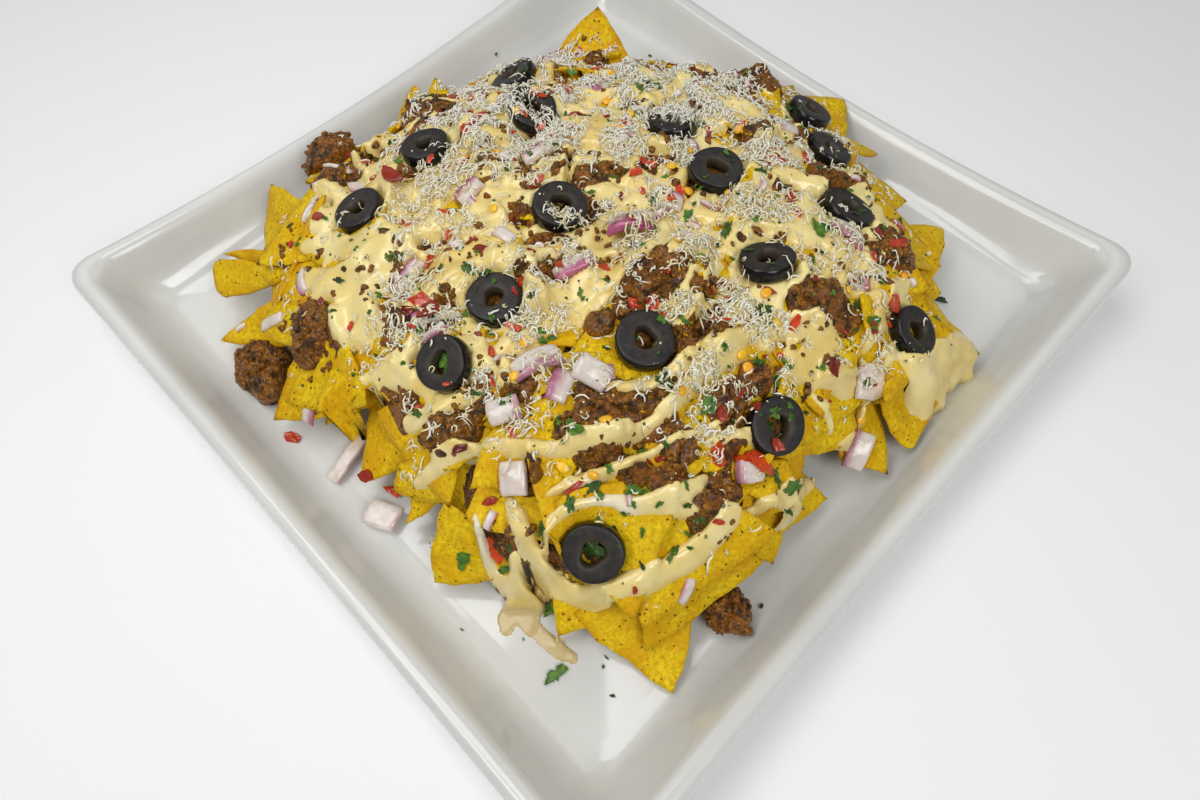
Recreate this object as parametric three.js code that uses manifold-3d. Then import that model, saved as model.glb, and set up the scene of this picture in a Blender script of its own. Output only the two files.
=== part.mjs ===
// Loaded nachos on a square glazed plate. Millimetres, +Z up.
// The origin is on the table, under the middle of the plate, and the plate's sides run along X and Y.
// The food is laid out in (u, v) across the plate's corners: u runs from corner to corner
// to the right of the front corner's view, v runs away from the front corner.
import * as THREE from 'three';
import { mergeVertices } from 'three/addons/utils/BufferGeometryUtils.js';
import Module from 'manifold-3d';

const wasm = await Module();
wasm.setup();

// ---- driving dimensions -------------------------------------------------------------------
const GAP = 0.35; // clear air between two pieces that rest on each other
const PLATE_SIDE = 300;
const RIM_HEIGHT = 25; // top of the rim at the middle of a side
const CORNER_RISE = 9.3; // how much higher the rim stands at the corners
const FLOOR = 8; // top of the plate's flat middle
const FOOT_HALF = 104; // half of the foot ring's outer side
const CORNER_ROUND = 0.07; // corner radius of each ring, as a share of its half side
const HEAP_TOP = 57; // height of the heap above the plate's floor
const HEAP_LEAN = 0.09; // how much the heap falls away towards the back, mm per mm
const CHIP_THICK = 2.2;
const CHIP_CORNER = 4.5; // how far a chip's corner is rounded back
const OLIVE_RADIUS = 9.8;
const OLIVE_HOLE = 4.2;
const OLIVE_THICK = 5.2;

// half width of the heap at every 20 degrees, from +u towards +v
const REACH_STEP = 20;
const REACH = [138, 132, 138, 130, 128, 126, 128, 124, 130, 138, 132, 108, 118, 136, 142, 124, 118, 138];

const material = (color, roughness) => new THREE.MeshStandardMaterial({ color, roughness, metalness: 0 });
const GLAZE = material(0xeeeeea, 0.12);
const CHIP = material(0xe2b31c, 0.7);
const OLIVE = material(0x26221f, 0.3);
const ONION = material(0xe9d3dc, 0.35);
const BEEF = material(0x70391a, 0.6);
const HERB = material(0x2d5f22, 0.6);

const rad = THREE.MathUtils.degToRad;

// a small seeded generator, so that every build draws the same numbers
function seeded(seed) {
  let state = seed >>> 0;
  return () => {
    state = (state * 1664525 + 1013904223) >>> 0;
    return state / 4294967296;
  };
}

// ---- solids ---------------------------------------------------------------------------------
function toSolid(geometry) {
  const bare = geometry.clone();
  bare.deleteAttribute('normal');
  bare.deleteAttribute('uv');
  const welded = mergeVertices(bare, 1e-3);
  return new wasm.Manifold(new wasm.Mesh({
    numProp: 3,
    vertProperties: new Float32Array(welded.attributes.position.array),
    triVerts: new Uint32Array(welded.index.array),
  }));
}

function toGeometry(solid) {
  const mesh = solid.getMesh();
  const geometry = new THREE.BufferGeometry();
  geometry.setAttribute('position', new THREE.BufferAttribute(new Float32Array(mesh.vertProperties), 3));
  geometry.setIndex(new THREE.BufferAttribute(new Uint32Array(mesh.triVerts), 1));
  return geometry;
}

function fromPoints(points, faces) {
  const geometry = new THREE.BufferGeometry();
  geometry.setAttribute('position', new THREE.Float32BufferAttribute(points.flat(), 3));
  geometry.setIndex(faces.flat());
  return geometry;
}

// the largest body of a solid, in 32-bit numbers: a scrap that a cut has left loose is dropped,
// and a hollow that a join has sealed is filled
function mainBody(solid) {
  const bodies = toSolid(toGeometry(solid)).decompose();
  bodies.sort((a, b) => b.volume() - a.volume());
  return bodies[0];
}

// ---- plate ----------------------------------------------------------------------------------
// one ring of a square with rounded corners, counter-clockwise; the corners lift by `lift`
const SIDE_STEPS = 6;
const ARC_STEPS = 3;
function squareRing(half, z, lift) {
  const round = half * CORNER_ROUND;
  const flat = half - round;
  const ring = [];
  for (let side = 0; side < 4; side++) {
    const turn = side * Math.PI / 2;
    const local = [];
    for (let i = 0; i < SIDE_STEPS; i++) local.push([half, -flat + 2 * flat * i / SIDE_STEPS]);
    for (let i = 0; i < ARC_STEPS; i++) {
      const angle = Math.PI / 2 * i / ARC_STEPS;
      local.push([flat + round * Math.cos(angle), flat + round * Math.sin(angle)]);
    }
    for (const [x, y] of local) {
      const rise = lift * (Math.min(Math.abs(x), Math.abs(y)) / half) ** 2;
      ring.push([
        x * Math.cos(turn) - y * Math.sin(turn),
        x * Math.sin(turn) + y * Math.cos(turn),
        z + rise,
      ]);
    }
  }
  return ring;
}

// a solid through square rings from its bottom middle to its top middle; profile rows are
// [half side, height, share of the corner rise]
function squareLoft(bottom, profile, top) {
  const points = [[0, 0, bottom]];
  const faces = [];
  for (const [half, z, share] of profile) points.push(...squareRing(half, z, share * CORNER_RISE));
  points.push([0, 0, top]);
  const count = (points.length - 2) / profile.length;
  const at = (row, i) => 1 + row * count + (i % count);
  const last = points.length - 1;
  for (let i = 0; i < count; i++) {
    faces.push([0, at(0, i + 1), at(0, i)]);
    for (let row = 0; row + 1 < profile.length; row++) {
      faces.push([at(row, i), at(row, i + 1), at(row + 1, i + 1)]);
      faces.push([at(row, i), at(row + 1, i + 1), at(row + 1, i)]);
    }
    faces.push([at(profile.length - 1, i), at(profile.length - 1, i + 1), last]);
  }
  return fromPoints(points, faces);
}

const half = PLATE_SIDE / 2;
const FOOT_HOLLOW = 2.6; // how far the underside inside the foot ring stands off the table
// inner face of the plate, from the rim's crest down to the floor
const INNER_FACE = [
  [half - 6, RIM_HEIGHT - 0.5, 1],
  [half - 8.5, RIM_HEIGHT - 2.6, 0.97],
  [half - 11.5, RIM_HEIGHT - 7.2, 0.8],
  [half - 15.5, FLOOR + 4.4, 0.42],
  [half - 21, FLOOR + 1.2, 0.1],
  [half - 28, FLOOR, 0],
];
const plateProfile = [
  [FOOT_HALF - 10, FOOT_HOLLOW, 0],
  [FOOT_HALF - 7, 0, 0],
  [FOOT_HALF - 1, 0, 0],
  [FOOT_HALF + 2, 2.2, 0],
  [half - 17, 5.4, 0.2],
  [half - 7, 12.6, 0.65],
  [half - 1.2, RIM_HEIGHT - 6.2, 0.95],
  [half, RIM_HEIGHT - 3.6, 1],
  [half - 0.8, RIM_HEIGHT - 1.3, 1],
  [half - 3, RIM_HEIGHT, 1],
  ...INNER_FACE,
];
const plate = new THREE.Mesh(squareLoft(FOOT_HOLLOW, plateProfile, FLOOR), GLAZE);
plate.name = 'plate';

// the space inside the plate that food may fill, in the food's turned frame
const SPACE_TOP = 130;
const spaceProfile = INNER_FACE.slice().reverse().map(([a, z, share]) => [a - GAP, z + GAP, share]);
spaceProfile.push([half - 6 - GAP, SPACE_TOP, 0]);
const FOOD_TURN = -Math.PI / 4;
const plateSpace = toSolid(squareLoft(FLOOR + GAP, spaceProfile, SPACE_TOP).rotateZ(-FOOD_TURN));

// ---- heap: the core -------------------------------------------------------------------------
function reach(angle) {
  const place = (((angle * 180 / Math.PI) % 360 + 360) % 360) / REACH_STEP;
  const i = Math.floor(place) % REACH.length;
  const t = THREE.MathUtils.smoothstep(place - Math.floor(place), 0, 1);
  return THREE.MathUtils.lerp(REACH[i], REACH[(i + 1) % REACH.length], t);
}

// height of the smooth heap over a place on the plate
function heapHeight(u, v) {
  const share = Math.hypot(u, v) / reach(Math.atan2(v, u));
  if (share >= 1) return FLOOR;
  return FLOOR + (HEAP_TOP - HEAP_LEAN * v) * (1 - share ** 3.2) ** 0.55;
}

// lumps of the core: a few waves across each other
function unevenness(u, v) {
  return 1.6 * Math.sin(u * 0.13 + 1.1) * Math.cos(v * 0.11 - 0.4)
    + 1.2 * Math.sin(u * 0.05 - v * 0.17 + 2.0) + 0.8 * Math.cos(u * 0.21 + v * 0.19);
}

const CORE_INSET = 7; // the core stands this far inside the chips that cover it
function coreSolid() {
  const sphere = new THREE.SphereGeometry(1, 28, 9);
  sphere.rotateX(Math.PI / 2);
  const place = sphere.attributes.position;
  for (let i = 0; i < place.count; i++) {
    const [x, y, z] = [place.getX(i), place.getY(i), place.getZ(i)];
    const out = Math.hypot(x, y) * (reach(Math.atan2(y, x)) - CORE_INSET);
    const angle = Math.atan2(y, x);
    const u = out * Math.cos(angle);
    const v = out * Math.sin(angle);
    const under = FLOOR + GAP;
    const over = Math.max(heapHeight(u, v) - 3 + unevenness(u, v), under);
    place.setXYZ(i, u, v, z > 1e-6 ? over : under);
  }
  return toSolid(sphere);
}

// ---- heap: the chips ------------------------------------------------------------------------
// a bent three-cornered slab: its tip at the origin, its length along +X, its width along Y
const CHIP_STEPS = 3;
function chipGeometry(long, wide, curl, across) {
  const tip = new THREE.Vector2(0, 0);
  const left = new THREE.Vector2(long, wide / 2);
  const right = new THREE.Vector2(long, -wide / 2);
  const middle = new THREE.Vector2(long * 2 / 3, 0);
  const points = [];
  const rows = [];
  for (let i = 0; i <= CHIP_STEPS; i++) {
    rows.push([]);
    for (let j = 0; j <= i; j++) {
      const a = 1 - i / CHIP_STEPS;
      const b = (i - j) / CHIP_STEPS;
      const c = j / CHIP_STEPS;
      const p = new THREE.Vector2().addScaledVector(tip, a).addScaledVector(left, b).addScaledVector(right, c);
      if (Math.max(a, b, c) === 1) p.addScaledVector(middle.clone().sub(p).normalize(), CHIP_CORNER);
      const bend = across ? 2 * p.y / wide : 2 * p.x / long - 1;
      rows[i].push(points.length);
      points.push([p.x, p.y, curl * bend * bend]);
    }
  }
  const count = points.length;
  const upper = points.map(([x, y, z]) => [x, y, z + CHIP_THICK / 2]);
  const lower = points.map(([x, y, z]) => [x, y, z - CHIP_THICK / 2]);
  const faces = [];
  for (let i = 0; i < CHIP_STEPS; i++) {
    for (let j = 0; j <= i; j++) {
      const [a, b, c] = [rows[i][j], rows[i + 1][j], rows[i + 1][j + 1]];
      faces.push([a, c, b], [a + count, b + count, c + count]);
      if (j < i) {
        const d = rows[i][j + 1];
        faces.push([a, d, c], [a + count, c + count, d + count]);
      }
    }
  }
  const edge = [];
  for (let i = 0; i < CHIP_STEPS; i++) edge.push(rows[i][0]);
  for (let j = 0; j < CHIP_STEPS; j++) edge.push(rows[CHIP_STEPS][j]);
  for (let i = CHIP_STEPS; i > 0; i--) edge.push(rows[i][i]);
  for (let k = 0; k < edge.length; k++) {
    const a = edge[k];
    const b = edge[(k + 1) % edge.length];
    faces.push([a, b, b + count], [a, b + count, a + count]);
  }
  return fromPoints([...upper, ...lower], faces);
}

// puts a chip with its tip at a place: heading is where its body points in the (u, v) plane,
// rise tips it up from there, roll turns it about its own length
function placeChip(geometry, { at, heading, rise, roll }) {
  geometry.rotateX(rad(roll));
  geometry.rotateY(rad(-rise));
  geometry.rotateZ(rad(heading));
  geometry.translate(...at);
  return geometry;
}

// the chips that stick out of the heap, from the front corner round to the left, back and right
const EDGE_CHIPS = [
  { at: [26, -159, 9], heading: 112, rise: 22, roll: -12, long: 42, wide: 50, curl: 3 },
  { at: [-15, -141, 14], heading: 52, rise: 29, roll: 21, long: 48, wide: 55, curl: 2 },
  { at: [13, -147, 18], heading: 58, rise: 24, roll: 38, long: 50, wide: 48, curl: 8, across: true },
  { at: [-38, -120, 14], heading: 88, rise: 43, roll: -2, long: 40, wide: 30, curl: -2 },
  { at: [-58, -121, 11], heading: 30, rise: 40, roll: 25, long: 34, wide: 42, curl: 2 },
  { at: [-68, -102, 14], heading: 42, rise: 44, roll: 3, long: 42, wide: 22, curl: 3 },
  { at: [-56, -78, 12], heading: 119, rise: 34, roll: -40, long: 36, wide: 44, curl: -2 },
  { at: [-80, -64, 13], heading: 80, rise: 20, roll: -30, long: 34, wide: 42, curl: 2 },
  { at: [-126, -60, 15], heading: 25, rise: 28, roll: 12, long: 52, wide: 50, curl: -4 },
  { at: [-156, -22, 12], heading: 1, rise: 23, roll: 33, long: 46, wide: 26, curl: -2, across: true },
  { at: [-106, -11, 44], heading: 162, rise: -26, roll: -43, long: 58, wide: 25, curl: 2 },
  { at: [-156, 13, 26], heading: -18, rise: 13, roll: 66, long: 44, wide: 14, curl: 1 },
  { at: [-97, 5, 50], heading: 146, rise: -28, roll: -40, long: 58, wide: 34, curl: 3, across: true },
  { at: [-116, 76, 20], heading: -65, rise: 26, roll: 10, long: 38, wide: 44, curl: 7, across: true },
  { at: [-96, 80, 12], heading: -50, rise: 14, roll: -4, long: 46, wide: 50, curl: 2 },
  { at: [-77, 88, 50], heading: -89, rise: -34, roll: 36, long: 42, wide: 48, curl: 4, across: true },
  { at: [-68, 94, 46], heading: -88, rise: -24, roll: 24, long: 40, wide: 44, curl: 2 },
  { at: [-34, 107, 40], heading: -88, rise: -12, roll: 14, long: 36, wide: 40, curl: 2 },
  { at: [-20, 122, 14], heading: -90, rise: 12, roll: 8, long: 46, wide: 52, curl: 3 },
  { at: [2, 128, 49], heading: -100, rise: -30, roll: 0, long: 52, wide: 60, curl: -4, across: true },
  { at: [36, 124, 16], heading: -100, rise: 14, roll: -8, long: 46, wide: 50, curl: 2 },
  { at: [66, 108, 31], heading: -110, rise: 8, roll: -10, long: 36, wide: 44, curl: -2 },
  { at: [84, 100, 14], heading: -130, rise: 10, roll: 6, long: 46, wide: 50, curl: 3 },
  { at: [115, 97, 23], heading: -134, rise: 18, roll: -6, long: 42, wide: 50, curl: 2 },
  { at: [126, 51, 15], heading: -140, rise: 34, roll: -12, long: 36, wide: 42, curl: 3 },
  { at: [149, 28, 20], heading: -141, rise: 14, roll: -4, long: 44, wide: 40, curl: -3 },
  { at: [139, -9, 18], heading: 180, rise: 34, roll: -16, long: 34, wide: 40, curl: 2 },
  { at: [150, -37, 17], heading: 165, rise: 28, roll: 14, long: 34, wide: 40, curl: 2 },
  { at: [114, -76, 12], heading: 90, rise: 34, roll: 28, long: 30, wide: 42, curl: 2 },
  { at: [106, -85, 12], heading: 125, rise: 31, roll: 13, long: 38, wide: 44, curl: 3 },
  { at: [71, -96, 19], heading: 153, rise: 52, roll: -30, long: 36, wide: 46, curl: -2 },
  { at: [86, -91, 13], heading: -176, rise: 24, roll: -24, long: 42, wide: 44, curl: 4, across: true },
  { at: [62, -117, 10], heading: 118, rise: 42, roll: -2, long: 34, wide: 38, curl: 2 },
];

// the rest of the chips round the foot of the heap, leaning on it with their tips on the plate
const FOOT_CHIP_COUNT = 24;
const CLEAR_OF_EDGE_CHIPS = 20;
function footChips() {
  const random = seeded(5);
  const chips = [];
  for (let i = 0; i < FOOT_CHIP_COUNT; i++) {
    const bearing = (i + random() * 0.5) * 2 * Math.PI / FOOT_CHIP_COUNT;
    const out = reach(bearing) + 2 + random() * 12;
    const chip = {
      at: [out * Math.cos(bearing), out * Math.sin(bearing), FLOOR + 2.5 + random() * 4],
      heading: bearing * 180 / Math.PI + 180 + (random() - 0.5) * 50,
      rise: 26 + random() * 26,
      roll: (random() - 0.5) * 50,
      long: 42 + random() * 8,
      wide: 46 + random() * 8,
      curl: 2 + random() * 4,
      across: i % 2 === 0,
    };
    const near = ({ at }) => Math.hypot(at[0] - chip.at[0], at[1] - chip.at[1]) < CLEAR_OF_EDGE_CHIPS;
    if (!EDGE_CHIPS.some(near)) chips.push(chip);
  }
  return chips;
}

// the chips that show through the toppings, lying close to the slope of the heap
const TOP_CHIP_COUNT = 13;
const TOP_CHIP_LONG = 44;
function topChips() {
  const random = seeded(11);
  const chips = [];
  for (let i = 0; i < TOP_CHIP_COUNT; i++) {
    const angle = i * 2.39996 + 0.4;
    const share = Math.sqrt((i + 0.5) / TOP_CHIP_COUNT) * 0.8;
    const out = share * reach(angle);
    const [u, v] = [out * Math.cos(angle), out * Math.sin(angle)];
    const step = 6;
    const slope = Math.atan2(heapHeight(u, v) - heapHeight(u * (1 + step / out), v * (1 + step / out)), step);
    const turn = (random() - 0.5) * 60;
    const long = TOP_CHIP_LONG + random() * 8;
    const lift = 0.5 * long * Math.sin(slope);
    const back = 0.5 * long * Math.cos(slope);
    chips.push({
      at: [u + back * Math.cos(angle), v + back * Math.sin(angle), heapHeight(u, v) - lift - 1.5],
      heading: angle * 180 / Math.PI + 180 + turn * 0.3,
      rise: slope * 180 / Math.PI + (random() - 0.5) * 8,
      roll: (random() - 0.5) * 14,
      long,
      wide: long * 1.08,
      curl: 2 + random() * 3,
      across: i % 2 === 0,
    });
  }
  return chips;
}

const chipSolids = [...EDGE_CHIPS, ...footChips(), ...topChips()].map((chip) => (
  toSolid(placeChip(chipGeometry(chip.long, chip.wide, chip.curl, chip.across), chip))
));
let heap = mainBody(wasm.Manifold.union([coreSolid(), ...chipSolids]).intersect(plateSpace));

// ---- resting a piece on the heap --------------------------------------------------------------
const caster = new THREE.Raycaster();
const DOWN = new THREE.Vector3(0, 0, -1);
function restingGround(solid) {
  const ground = new THREE.Mesh(toGeometry(solid), CHIP);
  return (u, v) => {
    caster.set(new THREE.Vector3(u, v, SPACE_TOP - 1), DOWN);
    const hits = caster.intersectObject(ground);
    return hits.length ? hits[0].point.z : FLOOR + GAP;
  };
}
let groundAt = restingGround(heap);

// place and tilt of a disc of radius `size` that lies on the heap at (u, v)
function restingPose(u, v, size, lift, steepest) {
  const heights = [];
  for (let k = 0; k < 8; k++) {
    const angle = k * Math.PI / 4;
    heights.push([Math.cos(angle), Math.sin(angle), groundAt(u + size * Math.cos(angle), v + size * Math.sin(angle))]);
  }
  const mean = heights.reduce((sum, h) => sum + h[2], 0) / heights.length;
  const slopeU = heights.reduce((sum, h) => sum + h[0] * h[2], 0) / 4 / size;
  const slopeV = heights.reduce((sum, h) => sum + h[1] * h[2], 0) / 4 / size;
  const steep = Math.hypot(slopeU, slopeV);
  const ease = Math.min(1, Math.tan(rad(steepest)) / Math.max(steep, 1e-6));
  const normal = new THREE.Vector3(-slopeU * ease, -slopeV * ease, 1).normalize();
  const centre = new THREE.Vector3(u, v, mean).addScaledVector(normal, lift);
  const turn = new THREE.Quaternion().setFromUnitVectors(new THREE.Vector3(0, 0, 1), normal);
  return new THREE.Matrix4().compose(centre, turn, new THREE.Vector3(1, 1, 1));
}

// ---- heap: the thick drizzle --------------------------------------------------------------------
// a flattened rope along places on the heap, tapered to its ends
const ROPE_STEP = 16;
const ROPE_SIDES = 5;
function drizzle(places, wide, thick) {
  const flat = new THREE.CatmullRomCurve3(places.map(([u, v]) => new THREE.Vector3(u, v, 0)));
  const steps = Math.max(3, Math.round(flat.getLength() / ROPE_STEP));
  const line = flat.getSpacedPoints(steps);
  const heights = line.map((p) => Math.max(groundAt(p.x, p.y), groundAt(p.x + 2, p.y), groundAt(p.x, p.y - 2)));
  const points = [];
  const faces = [];
  line.forEach((p, i) => {
    const before = heights[Math.max(i - 1, 0)];
    const after = heights[Math.min(i + 1, steps)];
    const z = Math.max(heights[i], (before + after) / 2) + thick * 0.1;
    const along = flat.getTangentAt(i / steps);
    const side = new THREE.Vector3(-along.y, along.x, 0).normalize();
    const end = Math.min(i, steps - i);
    const size = end === 0 ? 0.45 : 1 - 0.12 * (i % 3);
    for (let k = 0; k < ROPE_SIDES; k++) {
      const angle = k * 2 * Math.PI / ROPE_SIDES;
      const out = side.clone().multiplyScalar(Math.cos(angle) * wide / 2 * size);
      points.push([p.x + out.x, p.y + out.y, z + Math.sin(angle) * thick / 2 * size]);
    }
  });
  for (let i = 0; i < steps; i++) {
    for (let k = 0; k < ROPE_SIDES; k++) {
      const a = i * ROPE_SIDES + k;
      const b = i * ROPE_SIDES + (k + 1) % ROPE_SIDES;
      faces.push([a, b, b + ROPE_SIDES], [a, b + ROPE_SIDES, a + ROPE_SIDES]);
    }
  }
  const end = steps * ROPE_SIDES;
  for (let k = 1; k < ROPE_SIDES - 1; k++) {
    faces.push([0, k + 1, k], [end, end + k, end + k + 1]);
  }
  const rope = toSolid(fromPoints(points, faces));
  return rope.volume() > 0 ? rope : toSolid(fromPoints(points, faces.map(([a, b, c]) => [a, c, b])));
}

// strokes of sauce, poured from the left front to the right back and across
const STROKES = [
  { wide: 13, thick: 7, places: [[-104, -18], [-88, -24], [-66, -14], [-40, 2]] },
  { wide: 10, thick: 6, places: [[-108, 26], [-92, 18], [-74, 30], [-52, 44], [-30, 60]] },
  { wide: 8, thick: 5, places: [[-72, -58], [-50, -66], [-24, -56], [0, -40], [22, -18], [40, 6]] },
  { wide: 9, thick: 5, places: [[-60, -92], [-38, -88], [-10, -92], [18, -84], [34, -66], [52, -52], [80, -50]] },
  { wide: 15, thick: 6, places: [[-26, -104], [-14, -124], [10, -128], [34, -116], [44, -106]] },
  { wide: 10, thick: 6, places: [[8, -108], [26, -104], [34, -98]] },
  { wide: 11, thick: 6, places: [[60, -98], [70, -92], [78, -84]] },
  { wide: 9, thick: 5, places: [[66, -62], [84, -62], [100, -52], [112, -28]] },
  { wide: 18, thick: 9, places: [[112, -54], [126, -46], [140, -34]] },
  { wide: 8, thick: 5, places: [[-20, 34], [4, 26], [28, 28], [56, 20], [84, 14]] },
  { wide: 8, thick: 5, places: [[-40, 62], [-10, 66], [20, 62], [50, 58], [76, 44]] },
  { wide: 8, thick: 5, places: [[-60, -38], [-30, -24], [6, -20], [34, -4], [64, -8], [92, -18]] },
];
heap = wasm.Manifold.union([heap, ...STROKES.map((s) => drizzle(s.places, s.wide, s.thick))]);
heap = mainBody(heap.intersect(plateSpace));
groundAt = restingGround(heap);

// ---- toppings that are pieces of their own ------------------------------------------------------
const food = new THREE.Group();
food.rotation.z = FOOD_TURN;

function addPiece(name, geometry, pose, look) {
  const piece = new THREE.Mesh(geometry, look);
  piece.name = name;
  piece.applyMatrix4(pose);
  food.add(piece);
}

// lifts a piece until it lies clear of the heap and of the pieces placed before it; where a chip's
// edge or the drizzle would hold it up too high, `room` is cut out of them instead
const placed = [];
const LIFT_STEP = 0.3;
const MOST_LIFT = 2.1;
const ROOM_TALL = 22;
function restClear(grown, room, pose) {
  for (let lift = 0; ; lift += LIFT_STEP) {
    const lifted = new THREE.Matrix4().makeTranslation(0, 0, lift).multiply(pose);
    const solid = toSolid(grown.clone().applyMatrix4(lifted));
    if (placed.some((other) => !solid.intersect(other).isEmpty())) continue;
    const free = solid.intersect(heap).isEmpty();
    if (!free && lift < MOST_LIFT) continue;
    if (!free) heap = heap.subtract(toSolid(room.applyMatrix4(lifted)));
    placed.push(solid);
    return lifted;
  }
}

// a crumb of cooked beef: a knobbly ball, flatter than wide
function beefGeometry(size, seed) {
  const random = seeded(seed);
  const phase = [random() * 6, random() * 6, random() * 6];
  const ball = new THREE.IcosahedronGeometry(1, 1);
  const lump = mergeVertices(ball.deleteAttribute('normal').deleteAttribute('uv'), 1e-4);
  const place = lump.attributes.position;
  const p = new THREE.Vector3();
  for (let i = 0; i < place.count; i++) {
    p.fromBufferAttribute(place, i);
    const knobs = 1 + 0.16 * Math.sin(4 * p.x + phase[0]) * Math.cos(5 * p.y + phase[1])
      + 0.1 * Math.sin(6 * p.z + phase[2]);
    place.setXYZ(i, p.x * knobs * size[0], p.y * knobs * size[1], p.z * knobs * size[2]);
  }
  return lump;
}

// clumps of beef: place on the heap, half sizes and turn
const CLUMPS = [
  { name: 'beef_back_left', at: [-72, 68], size: [15, 11, 8], turn: 20, sink: 1 },
  { name: 'beef_left_back', at: [-112, 58], size: [12, 9, 10], turn: 30, sink: -3 },
  { name: 'beef_back', at: [43, 84], size: [11, 8, 7], turn: 0, sink: 0 },
  { name: 'beef_back_right', at: [68, 84], size: [11, 9, 8], turn: -20, sink: -1 },
  { name: 'beef_middle', at: [20, -33], size: [17, 8, 7], turn: 32, sink: 1 },
  { name: 'beef_left', at: [-131, -36], size: [12, 16, 12], turn: 30, sink: -2 },
  { name: 'beef_left_front', at: [-100, -36], size: [8, 15, 9], turn: -28, sink: 2 },
  { name: 'beef_front_middle', at: [-1, -86], size: [11, 8, 7], turn: -10, sink: 0 },
  { name: 'beef_front_left', at: [-47, -81], size: [10, 7, 7], turn: 10, sink: 1 },
  { name: 'beef_front', at: [37, -108], size: [8, 9, 7], turn: 50, sink: 0 },
  { name: 'beef_right_back', at: [97, 24], size: [8, 10, 8], turn: 10, sink: 0 },
  { name: 'beef_right', at: [108, -8], size: [9, 8, 7], turn: 0, sink: 1 },
  { name: 'beef_right_middle', at: [74, -38], size: [10, 8, 6], turn: 20, sink: 1 },
];
CLUMPS.forEach(({ name, at, size, turn, sink }, i) => {
  const pose = restingPose(...at, 7, -sink, 25).multiply(new THREE.Matrix4().makeRotationZ(rad(turn)));
  const lump = toSolid(beefGeometry(size, 40 + i).applyMatrix4(pose)).intersect(plateSpace);
  const room = toSolid(beefGeometry(size.map((s) => s + 1.1), 40 + i).applyMatrix4(pose));
  heap = heap.subtract(room);
  placed.push(room);
  addPiece(name, toGeometry(mainBody(lump)), new THREE.Matrix4(), BEEF);
});
groundAt = restingGround(heap);

// a slice of olive: a ring with softly rounded skin
const OLIVE_SIDES = 10;
function oliveGeometry(radius, grow = 0) {
  const h = OLIVE_THICK / 2 + grow;
  const hole = OLIVE_HOLE - grow;
  const skin = radius + grow;
  const section = [[hole, -h], [skin - 1, -h], [skin, 0], [skin - 1, h], [hole, h], [hole, -h]];
  const ring = new THREE.LatheGeometry(section.map(([r, z]) => new THREE.Vector2(r, z)), OLIVE_SIDES);
  return ring.rotateX(Math.PI / 2);
}

const OLIVES = [
  [-32, 79], [-24, 48], [-64, 35], [-85, 6], [-12, -4], [30, 44], [44, 16], [88, 66], [92, 42],
  [92, 6], [-32, -40], [-46, -62], [16, -58], [58, -28], [110, -40], [57, -79], [0, -118],
];
OLIVES.forEach(([u, v], i) => {
  const radius = OLIVE_RADIUS - 0.5 * (i % 3) / 2;
  const pose = restingPose(u, v, radius * 0.8, OLIVE_THICK / 2, 34);
  const room = new THREE.CylinderGeometry(radius + 0.9, radius + 0.9, ROOM_TALL, 8).rotateX(Math.PI / 2);
  room.translate(0, 0, ROOM_TALL / 2 - OLIVE_THICK / 2 - GAP);
  addPiece(`olive_${i + 1}`, oliveGeometry(radius), restClear(oliveGeometry(radius, GAP), room, pose), OLIVE);
});

// a cut piece of onion: a slab bent like the layer it came from
function onionGeometry([long, wide, thick], bend) {
  const slab = new THREE.BoxGeometry(long, wide, thick, 4, 1, 1);
  const place = slab.attributes.position;
  for (let i = 0; i < place.count; i++) {
    const share = 2 * place.getX(i) / long;
    place.setY(i, place.getY(i) * (1 - 0.18 * share * share));
    place.setZ(i, place.getZ(i) - bend * share * share);
  }
  return slab;
}

const ONIONS = [
  { at: [13, -12], size: [16, 11, 3.4], turn: -6, bend: 1.6 },
  { at: [-6, -29], size: [15, 6, 3], turn: 22, bend: 1.4 },
  { at: [94, -58], size: [10, 13, 3.2], turn: -4, bend: 0.6 },
  { at: [48, -93], size: [9, 8, 5], turn: 8, bend: 0.6 },
  { at: [93, -76], size: [8, 14, 3], turn: -22, bend: 0.8 },
  { at: [-17, -66], size: [16, 8, 3], turn: 24, bend: 1.6 },
  { at: [0, -69], size: [12, 9, 3], turn: -30, bend: 1.2 },
  { at: [-27, -79], size: [11, 8, 3], turn: 14, bend: 1 },
  { at: [-24, -98], size: [9, 11, 3.4], turn: 0, bend: 0.8 },
  { at: [90, -8], size: [14, 8, 3], turn: -30, bend: 1.2 },
  { at: [91, -27], size: [9, 8, 3], turn: 0, bend: 0.8 },
  { at: [-1, 71], size: [14, 9, 3], turn: -48, bend: 1.2 },
  { at: [74, 50], size: [12, 10, 3], turn: 10, bend: 1 },
  { at: [-63, -27], size: [15, 6, 3], turn: 60, bend: 1.2 },
  { at: [-52, -45], size: [15, 6, 3], turn: 24, bend: 1.2 },
  { at: [-20, 24], size: [13, 7, 3], turn: 30, bend: 1 },
  { at: [26, 2], size: [11, 7, 3], turn: -12, bend: 1 },
  { at: [-44, 8], size: [11, 7, 3], turn: 40, bend: 0.8 },
  { at: [-19, 92], size: [11, 8, 3], turn: 12, bend: 0.8 },
];
ONIONS.forEach(({ at, size, turn, bend }, i) => {
  const turned = new THREE.Matrix4().makeRotationZ(rad(turn));
  const pose = restingPose(...at, 5, size[2] / 2, 32).multiply(turned);
  const grown = onionGeometry(size.map((s) => s + 2 * GAP), bend);
  const room = new THREE.BoxGeometry(size[0] + 2 * GAP, size[1] + 2 * GAP, ROOM_TALL);
  room.translate(0, 0, ROOM_TALL / 2 - size[2] / 2 - bend - GAP);
  addPiece(`onion_${i + 1}`, onionGeometry(size, bend), restClear(grown, room, pose), ONION);
});

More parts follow.
